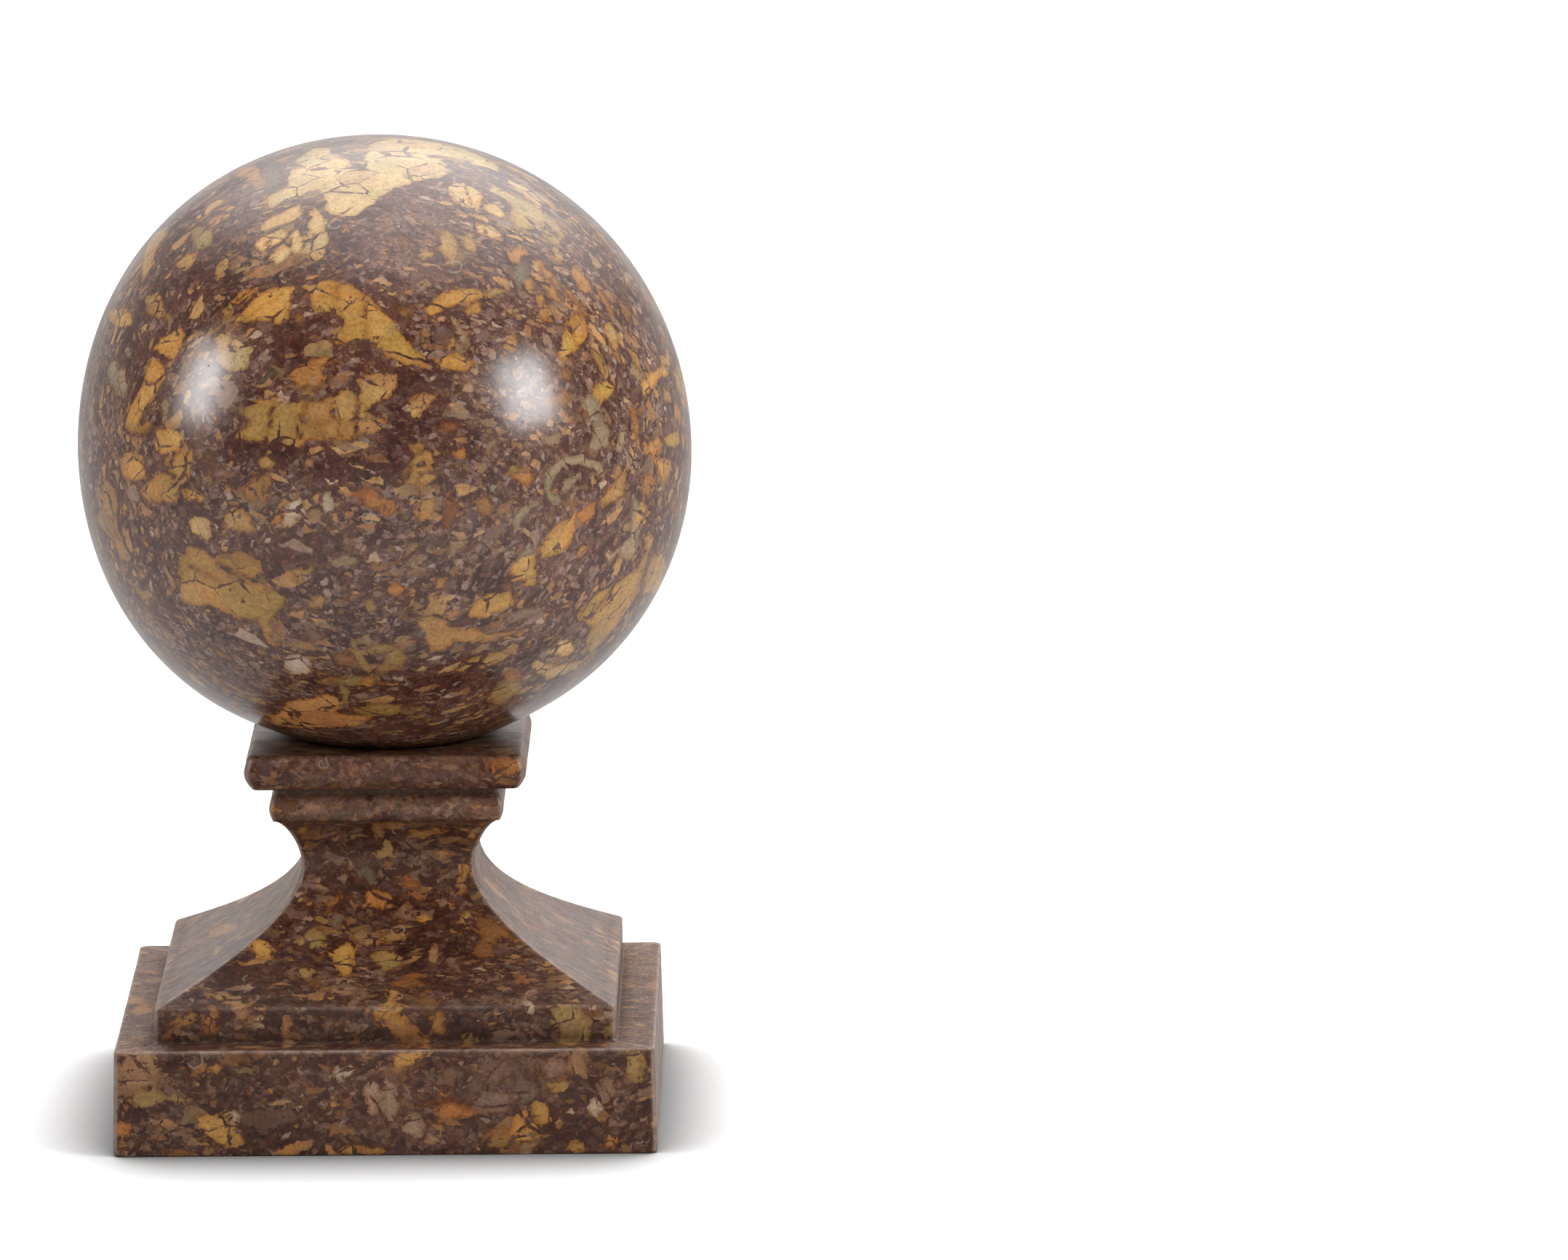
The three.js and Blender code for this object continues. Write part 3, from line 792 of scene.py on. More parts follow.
# How far each kind of ground loses its golden fragments to grey-brown ones
DULL = {
    "ground": 0.12, "deep": 0.10, "drab": 1.0, "rubble": 0.0, "fawn": 0.9,
    "mauve": 0.75, "earth": 0.20, "ash": 0.8, "dusk": 0.25,
}
# Kinds of the random blocks: on dull ground, on the rest of the front, and on what the photograph hides
DULL_KINDS = ["ash", "slate", "shell", "tan", "burnt", "ash"]
FRONT_KINDS = ["burnt", "ochre", "tan", "olive", "ash", "orange", "shell", "ochre", "burnt", "gold"]
HIDDEN_KINDS = ["gold", "gold", "ochre", "ochre", "orange", "olive", "tan", "pale", "bone", "slate", "rust"]
SMALLEST_BLOCK = 4.5
# Cosine of the angle from the camera's direction where the ball's drawn front ends
BALL_FRONT_END = 0.08
# How many random tints, small blocks and hidden blocks are tried
BALL_TINTS, BALL_SMALL, BALL_HIDDEN = 26, 900, 620
PEDESTAL_SMALL, PEDESTAL_HIDDEN, PEDESTAL_BEHIND = 300, 420, 700


def node_surface(name):
    """A tree for casting rays at a node of the frame."""
    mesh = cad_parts[name].data
    points = [vertex.co for vertex in mesh.vertices]
    return BVHTree.FromPolygons(points, [tuple(face.vertices) for face in mesh.polygons])


def laid_on(surface, pixels):
    """Points and normals where pixels' rays meet a surface. A ray that misses is drawn to the middle."""
    place = Vector(camera_axes()[0])
    middle = np.mean(pixels, axis=0)
    points, normals = [], []
    for pixel in np.array(pixels, float):
        for pull in np.linspace(0, 0.9, 19):
            ray = Vector(pixel_ray(pixel + (middle - pixel) * pull))
            point, normal, _, _ = surface.ray_cast(place, ray)
            if point is not None:
                points.append(point)
                normals.append(normal)
                break
    return np.array(points), np.array(normals)


def side_axes(normal):
    """Across and up, square to a normal."""
    normal = normal / np.linalg.norm(normal)
    across = np.cross([0, 0, 1], normal)
    if np.linalg.norm(across) < 1e-3:
        across = np.array([1.0, 0, 0])
    across /= np.linalg.norm(across)
    return across, np.cross(normal, across), normal


def inside_distance(places, outline):
    """Distance to an outline's nearest edge, positive inside, where a ray has an odd number of crossings."""
    nearest = np.full(len(places), np.inf)
    crossings = np.zeros(len(places), int)
    for start, end in zip(outline, np.roll(outline, -1, axis=0)):
        edge = end - start
        offset = places - start
        share = np.clip(offset @ edge / max(edge @ edge, 1e-9), 0, 1)
        nearest = np.minimum(nearest, np.linalg.norm(offset - share[:, None] * edge, axis=1))
        spans = (start[1] > places[:, 1]) != (end[1] > places[:, 1])
        rise = edge[1] if abs(edge[1]) > 1e-9 else 1e-9
        crossings += spans & (places[:, 0] < start[0] + edge[0] * (places[:, 1] - start[1]) / rise)
    return np.where(crossings % 2 == 1, nearest, -nearest)


class Figure:
    """The figure on one piece: at each point the depth inside the nearest clast, in mm, and its colour."""

    FAR = -12.0

    def __init__(self, points, seed, ground):
        self.points = points / MM
        self.random = np.random.default_rng(seed)
        self.depth = np.full(len(points), self.FAR)
        self.colour = np.tile(STONE["ochre"], (len(points), 1))
        self.ground = np.tile(STONE[ground], (len(points), 1))
        self.busy = np.full(len(points), BUSY[ground])
        self.dull = np.full(len(points), DULL[ground])
        warp = [lattice_noise(self.points, 6.5, seed + axis) for axis in range(3)]
        self.bent = self.points + 0.9 * np.stack(warp, 1)

    def near(self, middle, reach):
        """Numbers of the points within reach of a middle."""
        return np.flatnonzero(np.linalg.norm(self.points - middle, axis=1) < reach)

    def add(self, near, depth, kind):
        """Keeps the deeper of the clasts at each point."""
        tint = np.array(STONE[kind]) * self.random.uniform(0.88, 1.12)
        deeper = depth > self.depth[near]
        self.depth[near[deeper]] = depth[deeper]
        self.colour[near[deeper]] = tint

    def outline(self, surface, pixels, kind):
        """A flat slab with the outline's shape, a third as thick as it is wide."""
        points, normals = laid_on(surface, pixels)
        if len(points) < 3:
            return
        points = points / MM
        middle = points.mean(axis=0)
        across, up, normal = side_axes(normals.mean(axis=0))
        drawn = np.stack([(points - middle) @ across, (points - middle) @ up], 1)
        reach = np.linalg.norm(points - middle, axis=1).max()
        near = self.near(middle, reach * 1.25 + 8)
        offset = self.bent[near] - middle
        flat = np.stack([offset @ across, offset @ up], 1)
        thick = 3 + 0.35 * reach + np.abs((points - middle) @ normal).max()
        self.add(near, np.minimum(inside_distance(flat, drawn), thick - np.abs(offset @ normal)), kind)

    def curl(self, surface, pixel, radius, width, start, end):
        """An arc: half the width less the distance from the circle, cut off beyond the arc's ends."""
        points, normals = laid_on(surface, [pixel, (pixel[0] + radius * 0.5, pixel[1])])
        middle = points[0] / MM
        across, up, _ = side_axes(normals[0])
        near = self.near(middle, radius * PIXEL * 1.6 + 5)
        offset = self.bent[near] - middle
        x, y = offset @ across, offset @ up
        turn = np.degrees(np.arctan2(y, x))
        beyond = np.abs((turn - (start + end) / 2 + 180) % 360 - 180) - (end - start) / 2
        ring = width * PIXEL / 2 - np.abs(np.hypot(x, y) - radius * PIXEL)
        self.add(near, ring - np.clip(beyond, 0, None) * 0.15, "shell")

    def cut(self, surface, start, end, width):
        """A crack: within half its width of a line between two pixels' points the clast gives way."""
        points, _ = laid_on(surface, [start, end])
        start, end = points[:2] / MM
        edge = end - start
        near = self.near((start + end) / 2, np.linalg.norm(edge) + 6)
        offset = self.bent[near] - start
        share = np.clip(offset @ edge / (edge @ edge), 0, 1)
        gap = np.linalg.norm(offset - share[:, None] * edge, axis=1) - width / 2
        self.depth[near] = np.minimum(self.depth[near], np.maximum(gap, -0.8))

    def lump(self, middle, size, kind):
        """An angular block: the least distance inside ten random planes, in turned and stretched space."""
        turned, _ = np.linalg.qr(self.random.normal(size=(3, 3)))
        stretch = np.array([1.0, self.random.uniform(0.4, 0.8), self.random.uniform(0.3, 0.6)])
        planes = self.random.normal(size=(10, 3))
        planes /= np.linalg.norm(planes, axis=1, keepdims=True)
        reach = self.random.uniform(0.55, 1.0, 10) * size
        near = self.near(middle, size * 2 + 4)
        local = (self.bent[near] - middle) @ turned / stretch
        self.add(near, (reach - local @ planes.T).min(axis=1) * stretch.mean(), kind)

    def scatter(self, places, low, high):
        """Small blocks at those of the places that are clear of the drawn clasts and of the plain ground."""
        for place in places:
            nearest = np.argmin(((self.points - place) ** 2).sum(axis=1))
            size = low + (high - low) * self.random.random() ** 2
            kind = self.random.choice(DULL_KINDS if self.dull[nearest] > 0.6 else FRONT_KINDS)
            crowd = self.random.uniform(0.45, 1.15)
            if self.depth[nearest] < -2.5 and self.busy[nearest] > crowd:
                self.lump(place, size, kind)

    def tint_ground(self, middle, reach_across, reach_up, kind, normal):
        """Blends the ground to a tint: weight exp of minus the squared distance over the reach."""
        across, up, _ = side_axes(normal)
        offset = self.points - middle
        flat = (offset @ across / reach_across) ** 2 + (offset @ up / reach_up) ** 2
        deep = (offset @ normal / max(reach_across, reach_up)) ** 2
        weight = np.exp(-(flat + deep))[:, None]
        self.ground = (1 - weight) * self.ground + weight * np.array(STONE[kind])
        self.busy += weight[:, 0] * (BUSY[kind] - self.busy)
        self.dull += weight[:, 0] * (DULL[kind] - self.dull)

    def store(self, piece):
        """Keeps the figure on the piece as attributes of its points."""
        keep_values(piece, clast_depth=self.depth, busy=self.busy, dull=self.dull)
        for name, colour in (("clast_colour", self.colour), ("ground_colour", self.ground)):
            layer = piece.data.attributes.new(name, "FLOAT_COLOR", "POINT")
            layer.data.foreach_set("color", np.column_stack([colour, np.ones(len(colour))]).ravel())


def mesh_points(piece):
    """The piece's vertices as an array, in metres."""
    points = np.empty(len(piece.data.vertices) * 3, np.float32)
    piece.data.vertices.foreach_get("co", points)
    return points.reshape(-1, 3).astype(float)


def draw_front(figure, surface, clasts, zones):
    """What the photograph shows: its broad tints and its larger clasts."""
    for kind, places in zones.items():
        for pixel, reach_across, reach_up in places:
            points, normals = laid_on(surface, [pixel, (pixel[0], pixel[1] + 1)])
            if len(points):
                normal = normals[0] / np.linalg.norm(normals[0])
                figure.tint_ground(points[0] / MM, reach_across * PIXEL, reach_up * PIXEL, kind, normal)
    for kind, outlines in clasts.items():
        for pixels in outlines:
            figure.outline(surface, pixels, kind)


def random_direction(figure):
    direction = figure.random.normal(size=3)
    return direction / np.linalg.norm(direction)


def hidden_block(figure, span, power, broad):
    """Size and kind of a random block where nothing is drawn. Broad ones are not of the palest kinds."""
    size = SMALLEST_BLOCK + span * figure.random.random() ** power
    return size, figure.random.choice(HIDDEN_KINDS if size < broad else HIDDEN_KINDS[:7])


def figure_ball(piece):
    """Front from the photograph; the rest gets blocks of the same kinds and sizes, spread over the sphere."""
    figure = Figure(mesh_points(piece), 5, "ground")
    surface = node_surface("ball")
    toward_camera = -camera_axes()[3]
    centre, radius = BALL_CENTRE / MM, BALL_RADIUS / MM
    for _ in range(BALL_TINTS):
        direction = random_direction(figure)
        kind = figure.random.choice(["deep", "drab", "mauve", "drab"])
        if direction @ toward_camera < 0:
            reach = figure.random.uniform(18, 42, 2)
            figure.tint_ground(centre + radius * direction, *reach, kind, direction)
    draw_front(figure, surface, BALL_CLASTS, BALL_ZONES)
    for cut in CLAST_CUTS:
        figure.cut(surface, *cut)
    for curl in SHELL_CURLS:
        figure.curl(surface, *curl)
    places = figure.random.normal(size=(BALL_SMALL, 3))
    places /= np.linalg.norm(places, axis=1, keepdims=True)
    places = places[places @ toward_camera > BALL_FRONT_END]
    figure.scatter(centre + (radius - 1) * places, 3.4, 9.0)
    for _ in range(BALL_HIDDEN):
        direction = random_direction(figure)
        size, kind = hidden_block(figure, 17, 2.2, 13)
        if direction @ toward_camera < BALL_FRONT_END:
            figure.lump(centre + (radius - 2) * direction, size, kind)
    figure.store(piece)


def figure_pedestal(piece):
    """Front from the photograph; blocks of the same kinds fill the sides and the back."""
    figure = Figure(mesh_points(piece), 9, "earth")
    surface = node_surface("pedestal")
    draw_front(figure, surface, PEDESTAL_CLASTS, PEDESTAL_ZONES)
    low, high = pedestal_low / MM, pedestal_high / MM
    front = figure.points[figure.points[:, 1] < -0.9 * figure_front(figure.points[:, 2])]
    figure.scatter(figure.random.choice(front, PEDESTAL_SMALL), 3.0, 6.5)
    for _ in range(PEDESTAL_HIDDEN):
        middle = figure.random.uniform(low, high)
        size, kind = hidden_block(figure, 15, 2.4, 11)
        if middle[1] > size * 1.6 + 6 - figure_front(middle[2]):
            figure.lump(middle, size, kind)
    behind = figure.points[figure.points[:, 1] > -0.75 * figure_front(figure.points[:, 2])]
    figure.scatter(figure.random.choice(behind, PEDESTAL_BEHIND), 4.0, 12.0)
    figure.store(piece)


def figure_front(level):
    """Half-width of the pedestal at a height, in mm, for keeping the random blocks behind the front."""
    profile, _ = pedestal_profile()
    order = np.argsort(profile[:, 1], kind="stable")
    return np.interp(level, profile[order, 1], profile[order, 0])


# Materials

class Wiring:
    """Makes shader nodes: an input that is a socket is linked, and any other value is set."""

    def __init__(self, tree):
        self.tree = tree

    def node(self, kind, inputs=None, **settings):
        made = self.tree.nodes.new(kind)
        for name, value in settings.items():
            setattr(made, name, value)
        for name, value in (inputs or {}).items():
            socket = made.inputs[name]
            if isinstance(value, bpy.types.NodeSocket):
                self.tree.links.new(value, socket)
            else:
                socket.default_value = value
        return made

    def math(self, operation, *values):
        return self.node("ShaderNodeMath", dict(enumerate(values)), operation=operation).outputs[0]

    def product(self, first, *others):
        for value in others:
            first = self.math("MULTIPLY", first, value)
        return first

    def vector(self, operation, *values):
        return self.node("ShaderNodeVectorMath", dict(enumerate(values)), operation=operation).outputs[0]

    def scaled(self, vector, factor):
        return self.node("ShaderNodeVectorMath", {0: vector, "Scale": factor}, operation="SCALE").outputs[0]

    def moved(self, place, noise, distance):
        """A place pushed about by up to half the distance, by a noise vector."""
        return self.vector("ADD", place, self.scaled(noise, distance))

    def turned(self, place, turn, stretch):
        inputs = {"Vector": place, "Rotation": turn, "Scale": stretch}
        return self.node("ShaderNodeMapping", inputs).outputs[0]

    def channels(self, colour):
        return self.node("ShaderNodeSeparateColor", {"Color": colour}).outputs

    def axes(self, vector):
        return self.node("ShaderNodeSeparateXYZ", {0: vector}).outputs

    def step(self, value, low, high):
        """Smooth step from 0 at low to 1 at high."""
        inputs = {"Value": value, "From Min": low, "From Max": high}
        return self.node("ShaderNodeMapRange", inputs, interpolation_type="SMOOTHSTEP").outputs["Result"]

    def span(self, value, low, high, to_low, to_high):
        inputs = {"Value": value, "From Min": low, "From Max": high, "To Min": to_low, "To Max": to_high}
        return self.node("ShaderNodeMapRange", inputs).outputs["Result"]

    def mix(self, share, under, over, blend="MIX"):
        made = self.node("ShaderNodeMix", data_type="RGBA", blend_type=blend, clamp_factor=True)
        for socket, value in zip((made.inputs[0], made.inputs[6], made.inputs[7]), (share, under, over)):
            if isinstance(value, bpy.types.NodeSocket):
                self.tree.links.new(value, socket)
            elif isinstance(value, tuple):
                socket.default_value = (*value, 1)
            else:
                socket.default_value = value
        return made.outputs[2]

    def tinted(self, share, colour, tint):
        """The colour times a tint, as far as the share says."""
        return self.mix(share, colour, tint, "MULTIPLY")

    def noise(self, place, size, detail=3, rough=0.55, colour=False):
        """Noise whose features are about size mm."""
        inputs = {"Vector": place, "Scale": 1 / size, "Detail": detail, "Roughness": rough}
        made = self.node("ShaderNodeTexNoise", inputs)
        return made.outputs["Color" if colour else "Fac"]

    def cells(self, place, size, feature="F1"):
        inputs = {"Vector": place, "Scale": 1 / size}
        return self.node("ShaderNodeTexVoronoi", inputs, feature=feature)

    def ramp(self, value, stops):
        """Bands of colour, each from its stop to the next."""
        made = self.node("ShaderNodeValToRGB", {"Fac": value})
        made.color_ramp.interpolation = "CONSTANT"
        elements = made.color_ramp.elements
        while len(elements) < len(stops):
            elements.new(0.5)
        for element, (place, colour) in zip(elements, stops):
            element.position = place
            element.color = (*colour, 1)
        return made.outputs["Color"]

    def attribute(self, name, output="Color"):
        return self.node("ShaderNodeAttribute", attribute_name=name).outputs[output]


def fragments(wiring, place, size, turn, stretch, density, edge, stops):
    """Angular grains: some of the cells of a turned and stretched pattern, each with a gap round it.

    Returns the mask of kept grains and their colours.
    """
    turned = wiring.turned(place, turn, stretch)
    cell = wiring.cells(turned, size)
    border = wiring.cells(turned, size, "DISTANCE_TO_EDGE").outputs["Distance"]
    chance = wiring.channels(cell.outputs["Color"])
    kept = wiring.math("LESS_THAN", chance[0], density)
    gap = wiring.span(chance[1], 0, 1, 0.02, 0.24)
    body = wiring.step(wiring.math("SUBTRACT", border, gap), 0, edge)
    return wiring.product(kept, body), wiring.ramp(chance[2], stops)


# Colours of the grains by chance: where each colour starts, and the colour
FINE_STOPS = [
    (0.0, (0.052, 0.021, 0.014)), (0.17, (0.165, 0.092, 0.064)), (0.34, (0.100, 0.044, 0.030)),
    (0.50, (0.260, 0.165, 0.118)), (0.62, (0.180, 0.100, 0.048)), (0.74, (0.330, 0.185, 0.070)),
    (0.85, (0.120, 0.072, 0.066)), (0.93, (0.400, 0.300, 0.225)),
]
COARSE_STOPS = [
    (0.0, (0.400, 0.222, 0.070)), (0.22, (0.170, 0.098, 0.070)), (0.34, (0.290, 0.148, 0.056)),
    (0.48, (0.270, 0.180, 0.075)), (0.62, (0.075, 0.030, 0.021)), (0.70, (0.440, 0.262, 0.090)),
    (0.84, (0.260, 0.170, 0.125)), (0.94, (0.430, 0.320, 0.230)),
]
MOSAIC_STOPS = [
    (0.0, (0.050, 0.020, 0.014)), (0.22, (0.105, 0.050, 0.038)), (0.40, (0.160, 0.098, 0.074)),
    (0.54, (0.070, 0.041, 0.038)), (0.66, (0.215, 0.146, 0.112)), (0.77, (0.150, 0.096, 0.048)),
    (0.86, (0.310, 0.225, 0.175)), (0.93, (0.230, 0.122, 0.048)),
]
BROWN_STOPS = [
    (0.0, (0.225, 0.108, 0.042)), (0.22, (0.270, 0.180, 0.110)), (0.38, (0.058, 0.022, 0.015)),
    (0.58, (0.135, 0.078, 0.066)), (0.74, (0.280, 0.165, 0.065)), (0.88, (0.190, 0.122, 0.050)),
]
MOSAIC_GRAIN = 3.0
# Fragments of the ground: size in mm, turn, stretch, density, softness of the edge, colours and strength
FRAGMENT_LAYERS = (
    (1.8, (0.9, 0.2, 0.4), (1, 1.5, 1.2), 0.55, 0.26, FINE_STOPS, 0.55),
    (3.6, (0.3, -0.8, 0.2), (0.75, 1.8, 1.3), 0.64, 0.16, FINE_STOPS, 0.75),
    (6.6, (0.2, 0.7, 0.8), (0.6, 2.1, 1.4), 0.46, 0.10, COARSE_STOPS, 0.85),
    (8.5, (-0.6, 0.3, 2.1), (0.7, 1.8, 1.2), 0.30, 0.08, BROWN_STOPS, 0.8),
    (11.5, (0.5, -0.6, 1.2), (0.6, 1.9, 1.3), 0.20, 0.06, COARSE_STOPS, 0.9),
)
COARSE_FROM = 5
# Blocks that a large clast is cracked into, in mm, and their tints by chance
CLAST_BLOCK = 17
BLOCK_TINTS = [
    (0.0, (1.0, 1.0, 1.0)), (0.4, (0.90, 0.95, 0.88)), (0.65, (1.04, 0.94, 0.85)), (0.85, (0.84, 0.78, 0.80)),
]
HALO_COLOUR = (0.085, 0.034, 0.018)
ARC_COLOUR = (0.27, 0.21, 0.17)
PIT_COLOUR = (0.02, 0.011, 0.009)
# Dark and pale grey-browns of the dust with painted sheen on the sides and ledges
DUST_AND_SHEEN_COLOURS = ((0.100, 0.060, 0.044), (0.350, 0.222, 0.164))
# Pale grey of the arris line, partly rubbed stone and partly a painted highlight
WEAR_AND_HIGHLIGHT_COLOUR = (0.300, 0.220, 0.180)
# Near-black of the painted shade with some dirt in the inner corners
SHADE_AND_GRIME_COLOUR = (0.018, 0.010, 0.007)
# Levels of the honed stone's dust with painted sheen, and of its polish, in mm: half-widths of the ledge, and
# heights at the cap's top
LEDGE_FROM, LEDGE_TO = 96, 113
CAP_POLISH_FROM, CAP_POLISH_TO = 182, 184


def centred(wiring, place, size):
    """Colour noise as a vector from -0.5 to 0.5 on each axis."""
    return wiring.vector("SUBTRACT", wiring.noise(place, size, 2, colour=True), (0.5, 0.5, 0.5))


def grain_mosaic(wiring, place, share, tint, under):
    """Small grains, parted by dark crevices and as light as the ground's tint, laid over a colour."""
    turned = wiring.turned(place, (0.7, 0.4, 1.1), (0.8, 1.4, 1.05))
    chance = wiring.channels(wiring.cells(turned, MOSAIC_GRAIN).outputs["Color"])
    crevice = wiring.cells(turned, MOSAIC_GRAIN, "DISTANCE_TO_EDGE").outputs["Distance"]
    shade = wiring.ramp(chance[0], MOSAIC_STOPS)
    shade = wiring.tinted(wiring.step(crevice, 0.14, 0.02), shade, (0.45, 0.38, 0.38))
    gain = wiring.span(wiring.node("ShaderNodeRGBToBW", {"Color": tint}).outputs[0], 0, 0.1, 0.40, 1.55)
    return wiring.mix(share, under, wiring.scaled(shade, gain))


def stone_ground(wiring, place, bent, busy):
    """The fine-grained ground: a clouded tint under a mosaic of small grains and five sizes of fragments."""
    tint = wiring.attribute("ground_colour")
    flow = wiring.moved(bent, centred(wiring, place, 60), 22.0)
    flow = wiring.moved(flow, centred(wiring, place, 5), 3.2)
    dull = wiring.attribute("dull", "Fac")
    light_mottle = wiring.step(wiring.noise(bent, 6, 5, 0.7), 0.40, 0.68)
    dark_mottle = wiring.step(wiring.noise(bent, 4, 4, 0.75), 0.50, 0.62)
    colour = wiring.tinted(light_mottle, tint, (1.8, 1.7, 1.6))
    colour = wiring.tinted(dark_mottle, colour, (0.5, 0.45, 0.42))
    colour = grain_mosaic(wiring, flow, wiring.product(busy, 0.78), tint, colour)
    patch = wiring.noise(place, 22, 4, 0.65)
    cloud = wiring.span(patch, 0.33, 0.64, 0.32, 1.75)
    for size, turn, stretch, density, edge, stops, strength in FRAGMENT_LAYERS:
        share = wiring.product(busy, density, cloud)
        if size > COARSE_FROM:
            share = wiring.product(share, wiring.span(dull, 0, 1, 1.0, 0.45))
        mask, shade = fragments(wiring, flow, size, turn, stretch, share, edge, stops)
        faded = wiring.node("ShaderNodeHueSaturation", {"Color": shade, "Saturation": 0.62}).outputs[0]
        grey = wiring.tinted(1.0, faded, (0.80, 0.69, 0.60))
        shade = wiring.mix(wiring.product(dull, 0.85), shade, grey)
        colour = wiring.mix(wiring.product(mask, strength), colour, shade)
    halo = wiring.step(wiring.attribute("clast_depth", "Fac"), -4.5, -0.3)
    colour = wiring.mix(wiring.product(halo, 0.35), colour, HALO_COLOUR)
    colour = wiring.tinted(wiring.step(patch, 0.47, 0.34), colour, (0.66, 0.57, 0.58))
    warm = wiring.step(wiring.noise(bent, 8, 3), 0.46, 0.66)
    return wiring.tinted(warm, colour, (1.20, 1.06, 0.92))


def stone_clasts(wiring, place, bent, jag):
    """The drawn clasts: stepped edges, dark cracks between blocks of unlike tint, and bites.

    The edges step by up to jag mm along small cells. Returns the mask and the colour.
    """
    step_cell = wiring.channels(wiring.cells(bent, 3.8).outputs["Color"])
    stepped = wiring.span(step_cell[0], 0, 1, -jag, jag)
    ragged = wiring.span(wiring.noise(place, 1.5, 3, 0.6), 0, 1, -0.5, 0.5)
    depth = wiring.math("ADD", wiring.attribute("clast_depth", "Fac"), wiring.math("ADD", stepped, ragged))
    mask = wiring.step(depth, -0.25, 0.30)
    block = wiring.turned(bent, (0.4, 0.8, 0.5), (0.8, 1.5, 1.1))
    block_cell = wiring.cells(block, CLAST_BLOCK)
    block_edge = wiring.cells(block, CLAST_BLOCK, "DISTANCE_TO_EDGE").outputs["Distance"]
    width = wiring.span(wiring.noise(place, 13, 2), 0.38, 0.66, -0.012, 0.055)
    crack = wiring.step(wiring.math("SUBTRACT", width, block_edge), -0.008, 0.008)
    bite = wiring.step(wiring.noise(bent, 9, 5, 0.72), 0.615, 0.64)
    mask = wiring.product(mask, wiring.math("SUBTRACT", 1.0, wiring.math("MAXIMUM", crack, bite)))
    chance = wiring.channels(block_cell.outputs["Color"])
    tone = wiring.ramp(chance[0], BLOCK_TINTS)
    colour = wiring.tinted(1.0, wiring.attribute("clast_colour"), tone)
    orange = wiring.step(wiring.noise(bent, 14, 4, 0.6), 0.48, 0.72)
    colour = wiring.tinted(orange, colour, (1.0, 0.89, 0.84))
    streak = wiring.noise(wiring.vector("MULTIPLY", bent, (0.6, 1.3, 1.9)), 3.4, 5, 0.75)
    colour = wiring.tinted(wiring.step(streak, 0.50, 0.72), colour, (0.62, 0.55, 0.52))
    broad = wiring.step(wiring.noise(place, 24, 4, 0.6), 0.40, 0.64)
    colour = wiring.tinted(broad, colour, (0.80, 0.78, 0.74))
    within = wiring.span(ragged, -0.5, 0.5, -2.0, 2.0)
    within = wiring.math("ADD", wiring.attribute("clast_depth", "Fac"), within)
    colour = wiring.tinted(wiring.step(within, 3.6, 0.2), colour, (0.86, 0.79, 0.70))
    rim = wiring.step(depth, 1.3, 0.1)
    return mask, wiring.tinted(wiring.product(rim, 0.7), colour, (0.58, 0.44, 0.34))


def shell_arcs(wiring, place):
    """Mask of thin arcs: the rim of a circle round the middle of some cells, kept in patches."""
    cell = wiring.cells(wiring.moved(place, centred(wiring, place, 9), 6.0), 13)
    chance = wiring.channels(cell.outputs["Color"])
    ring = wiring.math("SUBTRACT", cell.outputs["Distance"], wiring.span(chance[0], 0, 1, 0.12, 0.36))
    rim = wiring.math("LESS_THAN", wiring.math("ABSOLUTE", ring), 0.034)
    kept = wiring.math("LESS_THAN", chance[1], 0.30)
    return wiring.product(rim, kept, wiring.step(wiring.noise(place, 7, 2), 0.50, 0.56))


def open_pits(wiring, place):
    """Mask of small round pits, one at the middle of about a quarter of the cells."""
    cell = wiring.cells(place, 5.0)
    size = wiring.span(wiring.channels(cell.outputs["Color"])[0], 0.72, 1.0, 0.0, 0.10)
    return wiring.math("LESS_THAN", cell.outputs["Distance"], size)


def stone_colour(wiring, place, ground_share, jag):
    """Ground times a share, clasts, thin shell arcs and pits. Returns the colour and the mask of the pits."""
    bent = wiring.moved(place, centred(wiring, place, 14), 4.5)
    bent = wiring.moved(bent, centred(wiring, place, 2.4), 0.9)
    busy = wiring.attribute("busy", "Fac")
    colour = wiring.tinted(1.0, stone_ground(wiring, place, bent, busy), ground_share)
    mask, clast = stone_clasts(wiring, place, bent, jag)
    colour = wiring.mix(mask, colour, clast)
    colour = wiring.mix(wiring.product(shell_arcs(wiring, place), 0.6), colour, ARC_COLOUR)
    pits = open_pits(wiring, place)
    colour = wiring.mix(wiring.product(pits, 0.8), colour, PIT_COLOUR)
    speckle = wiring.step(wiring.noise(bent, 1.7, 4, 0.7), 0.58, 0.40)
    return wiring.tinted(speckle, colour, (0.76, 0.72, 0.70)), pits


def finish_stone(wiring, colour, rough, height, specular, strength, depth):
    """The shader of a stone surface, with a bump of the given strength and depth in metres."""
    bump = wiring.node("ShaderNodeBump", {"Strength": strength, "Distance": depth, "Height": height})
    surface = wiring.node("ShaderNodeBsdfPrincipled", {
        "Base Color": colour, "Roughness": rough, "Normal": bump.outputs[0], "Specular IOR Level": specular,
    })
    wiring.node("ShaderNodeOutputMaterial", {"Surface": surface.outputs[0]})


def new_material(name):
    """An empty node material, its wiring, and the place on the piece in millimetres."""
    material = bpy.data.materials.new(name)
    material.use_nodes = True
    material.node_tree.nodes.clear()
    wiring = Wiring(material.node_tree)
    place = wiring.scaled(wiring.node("ShaderNodeTexCoord").outputs["Object"], 1 / MM)
    return material, wiring, place


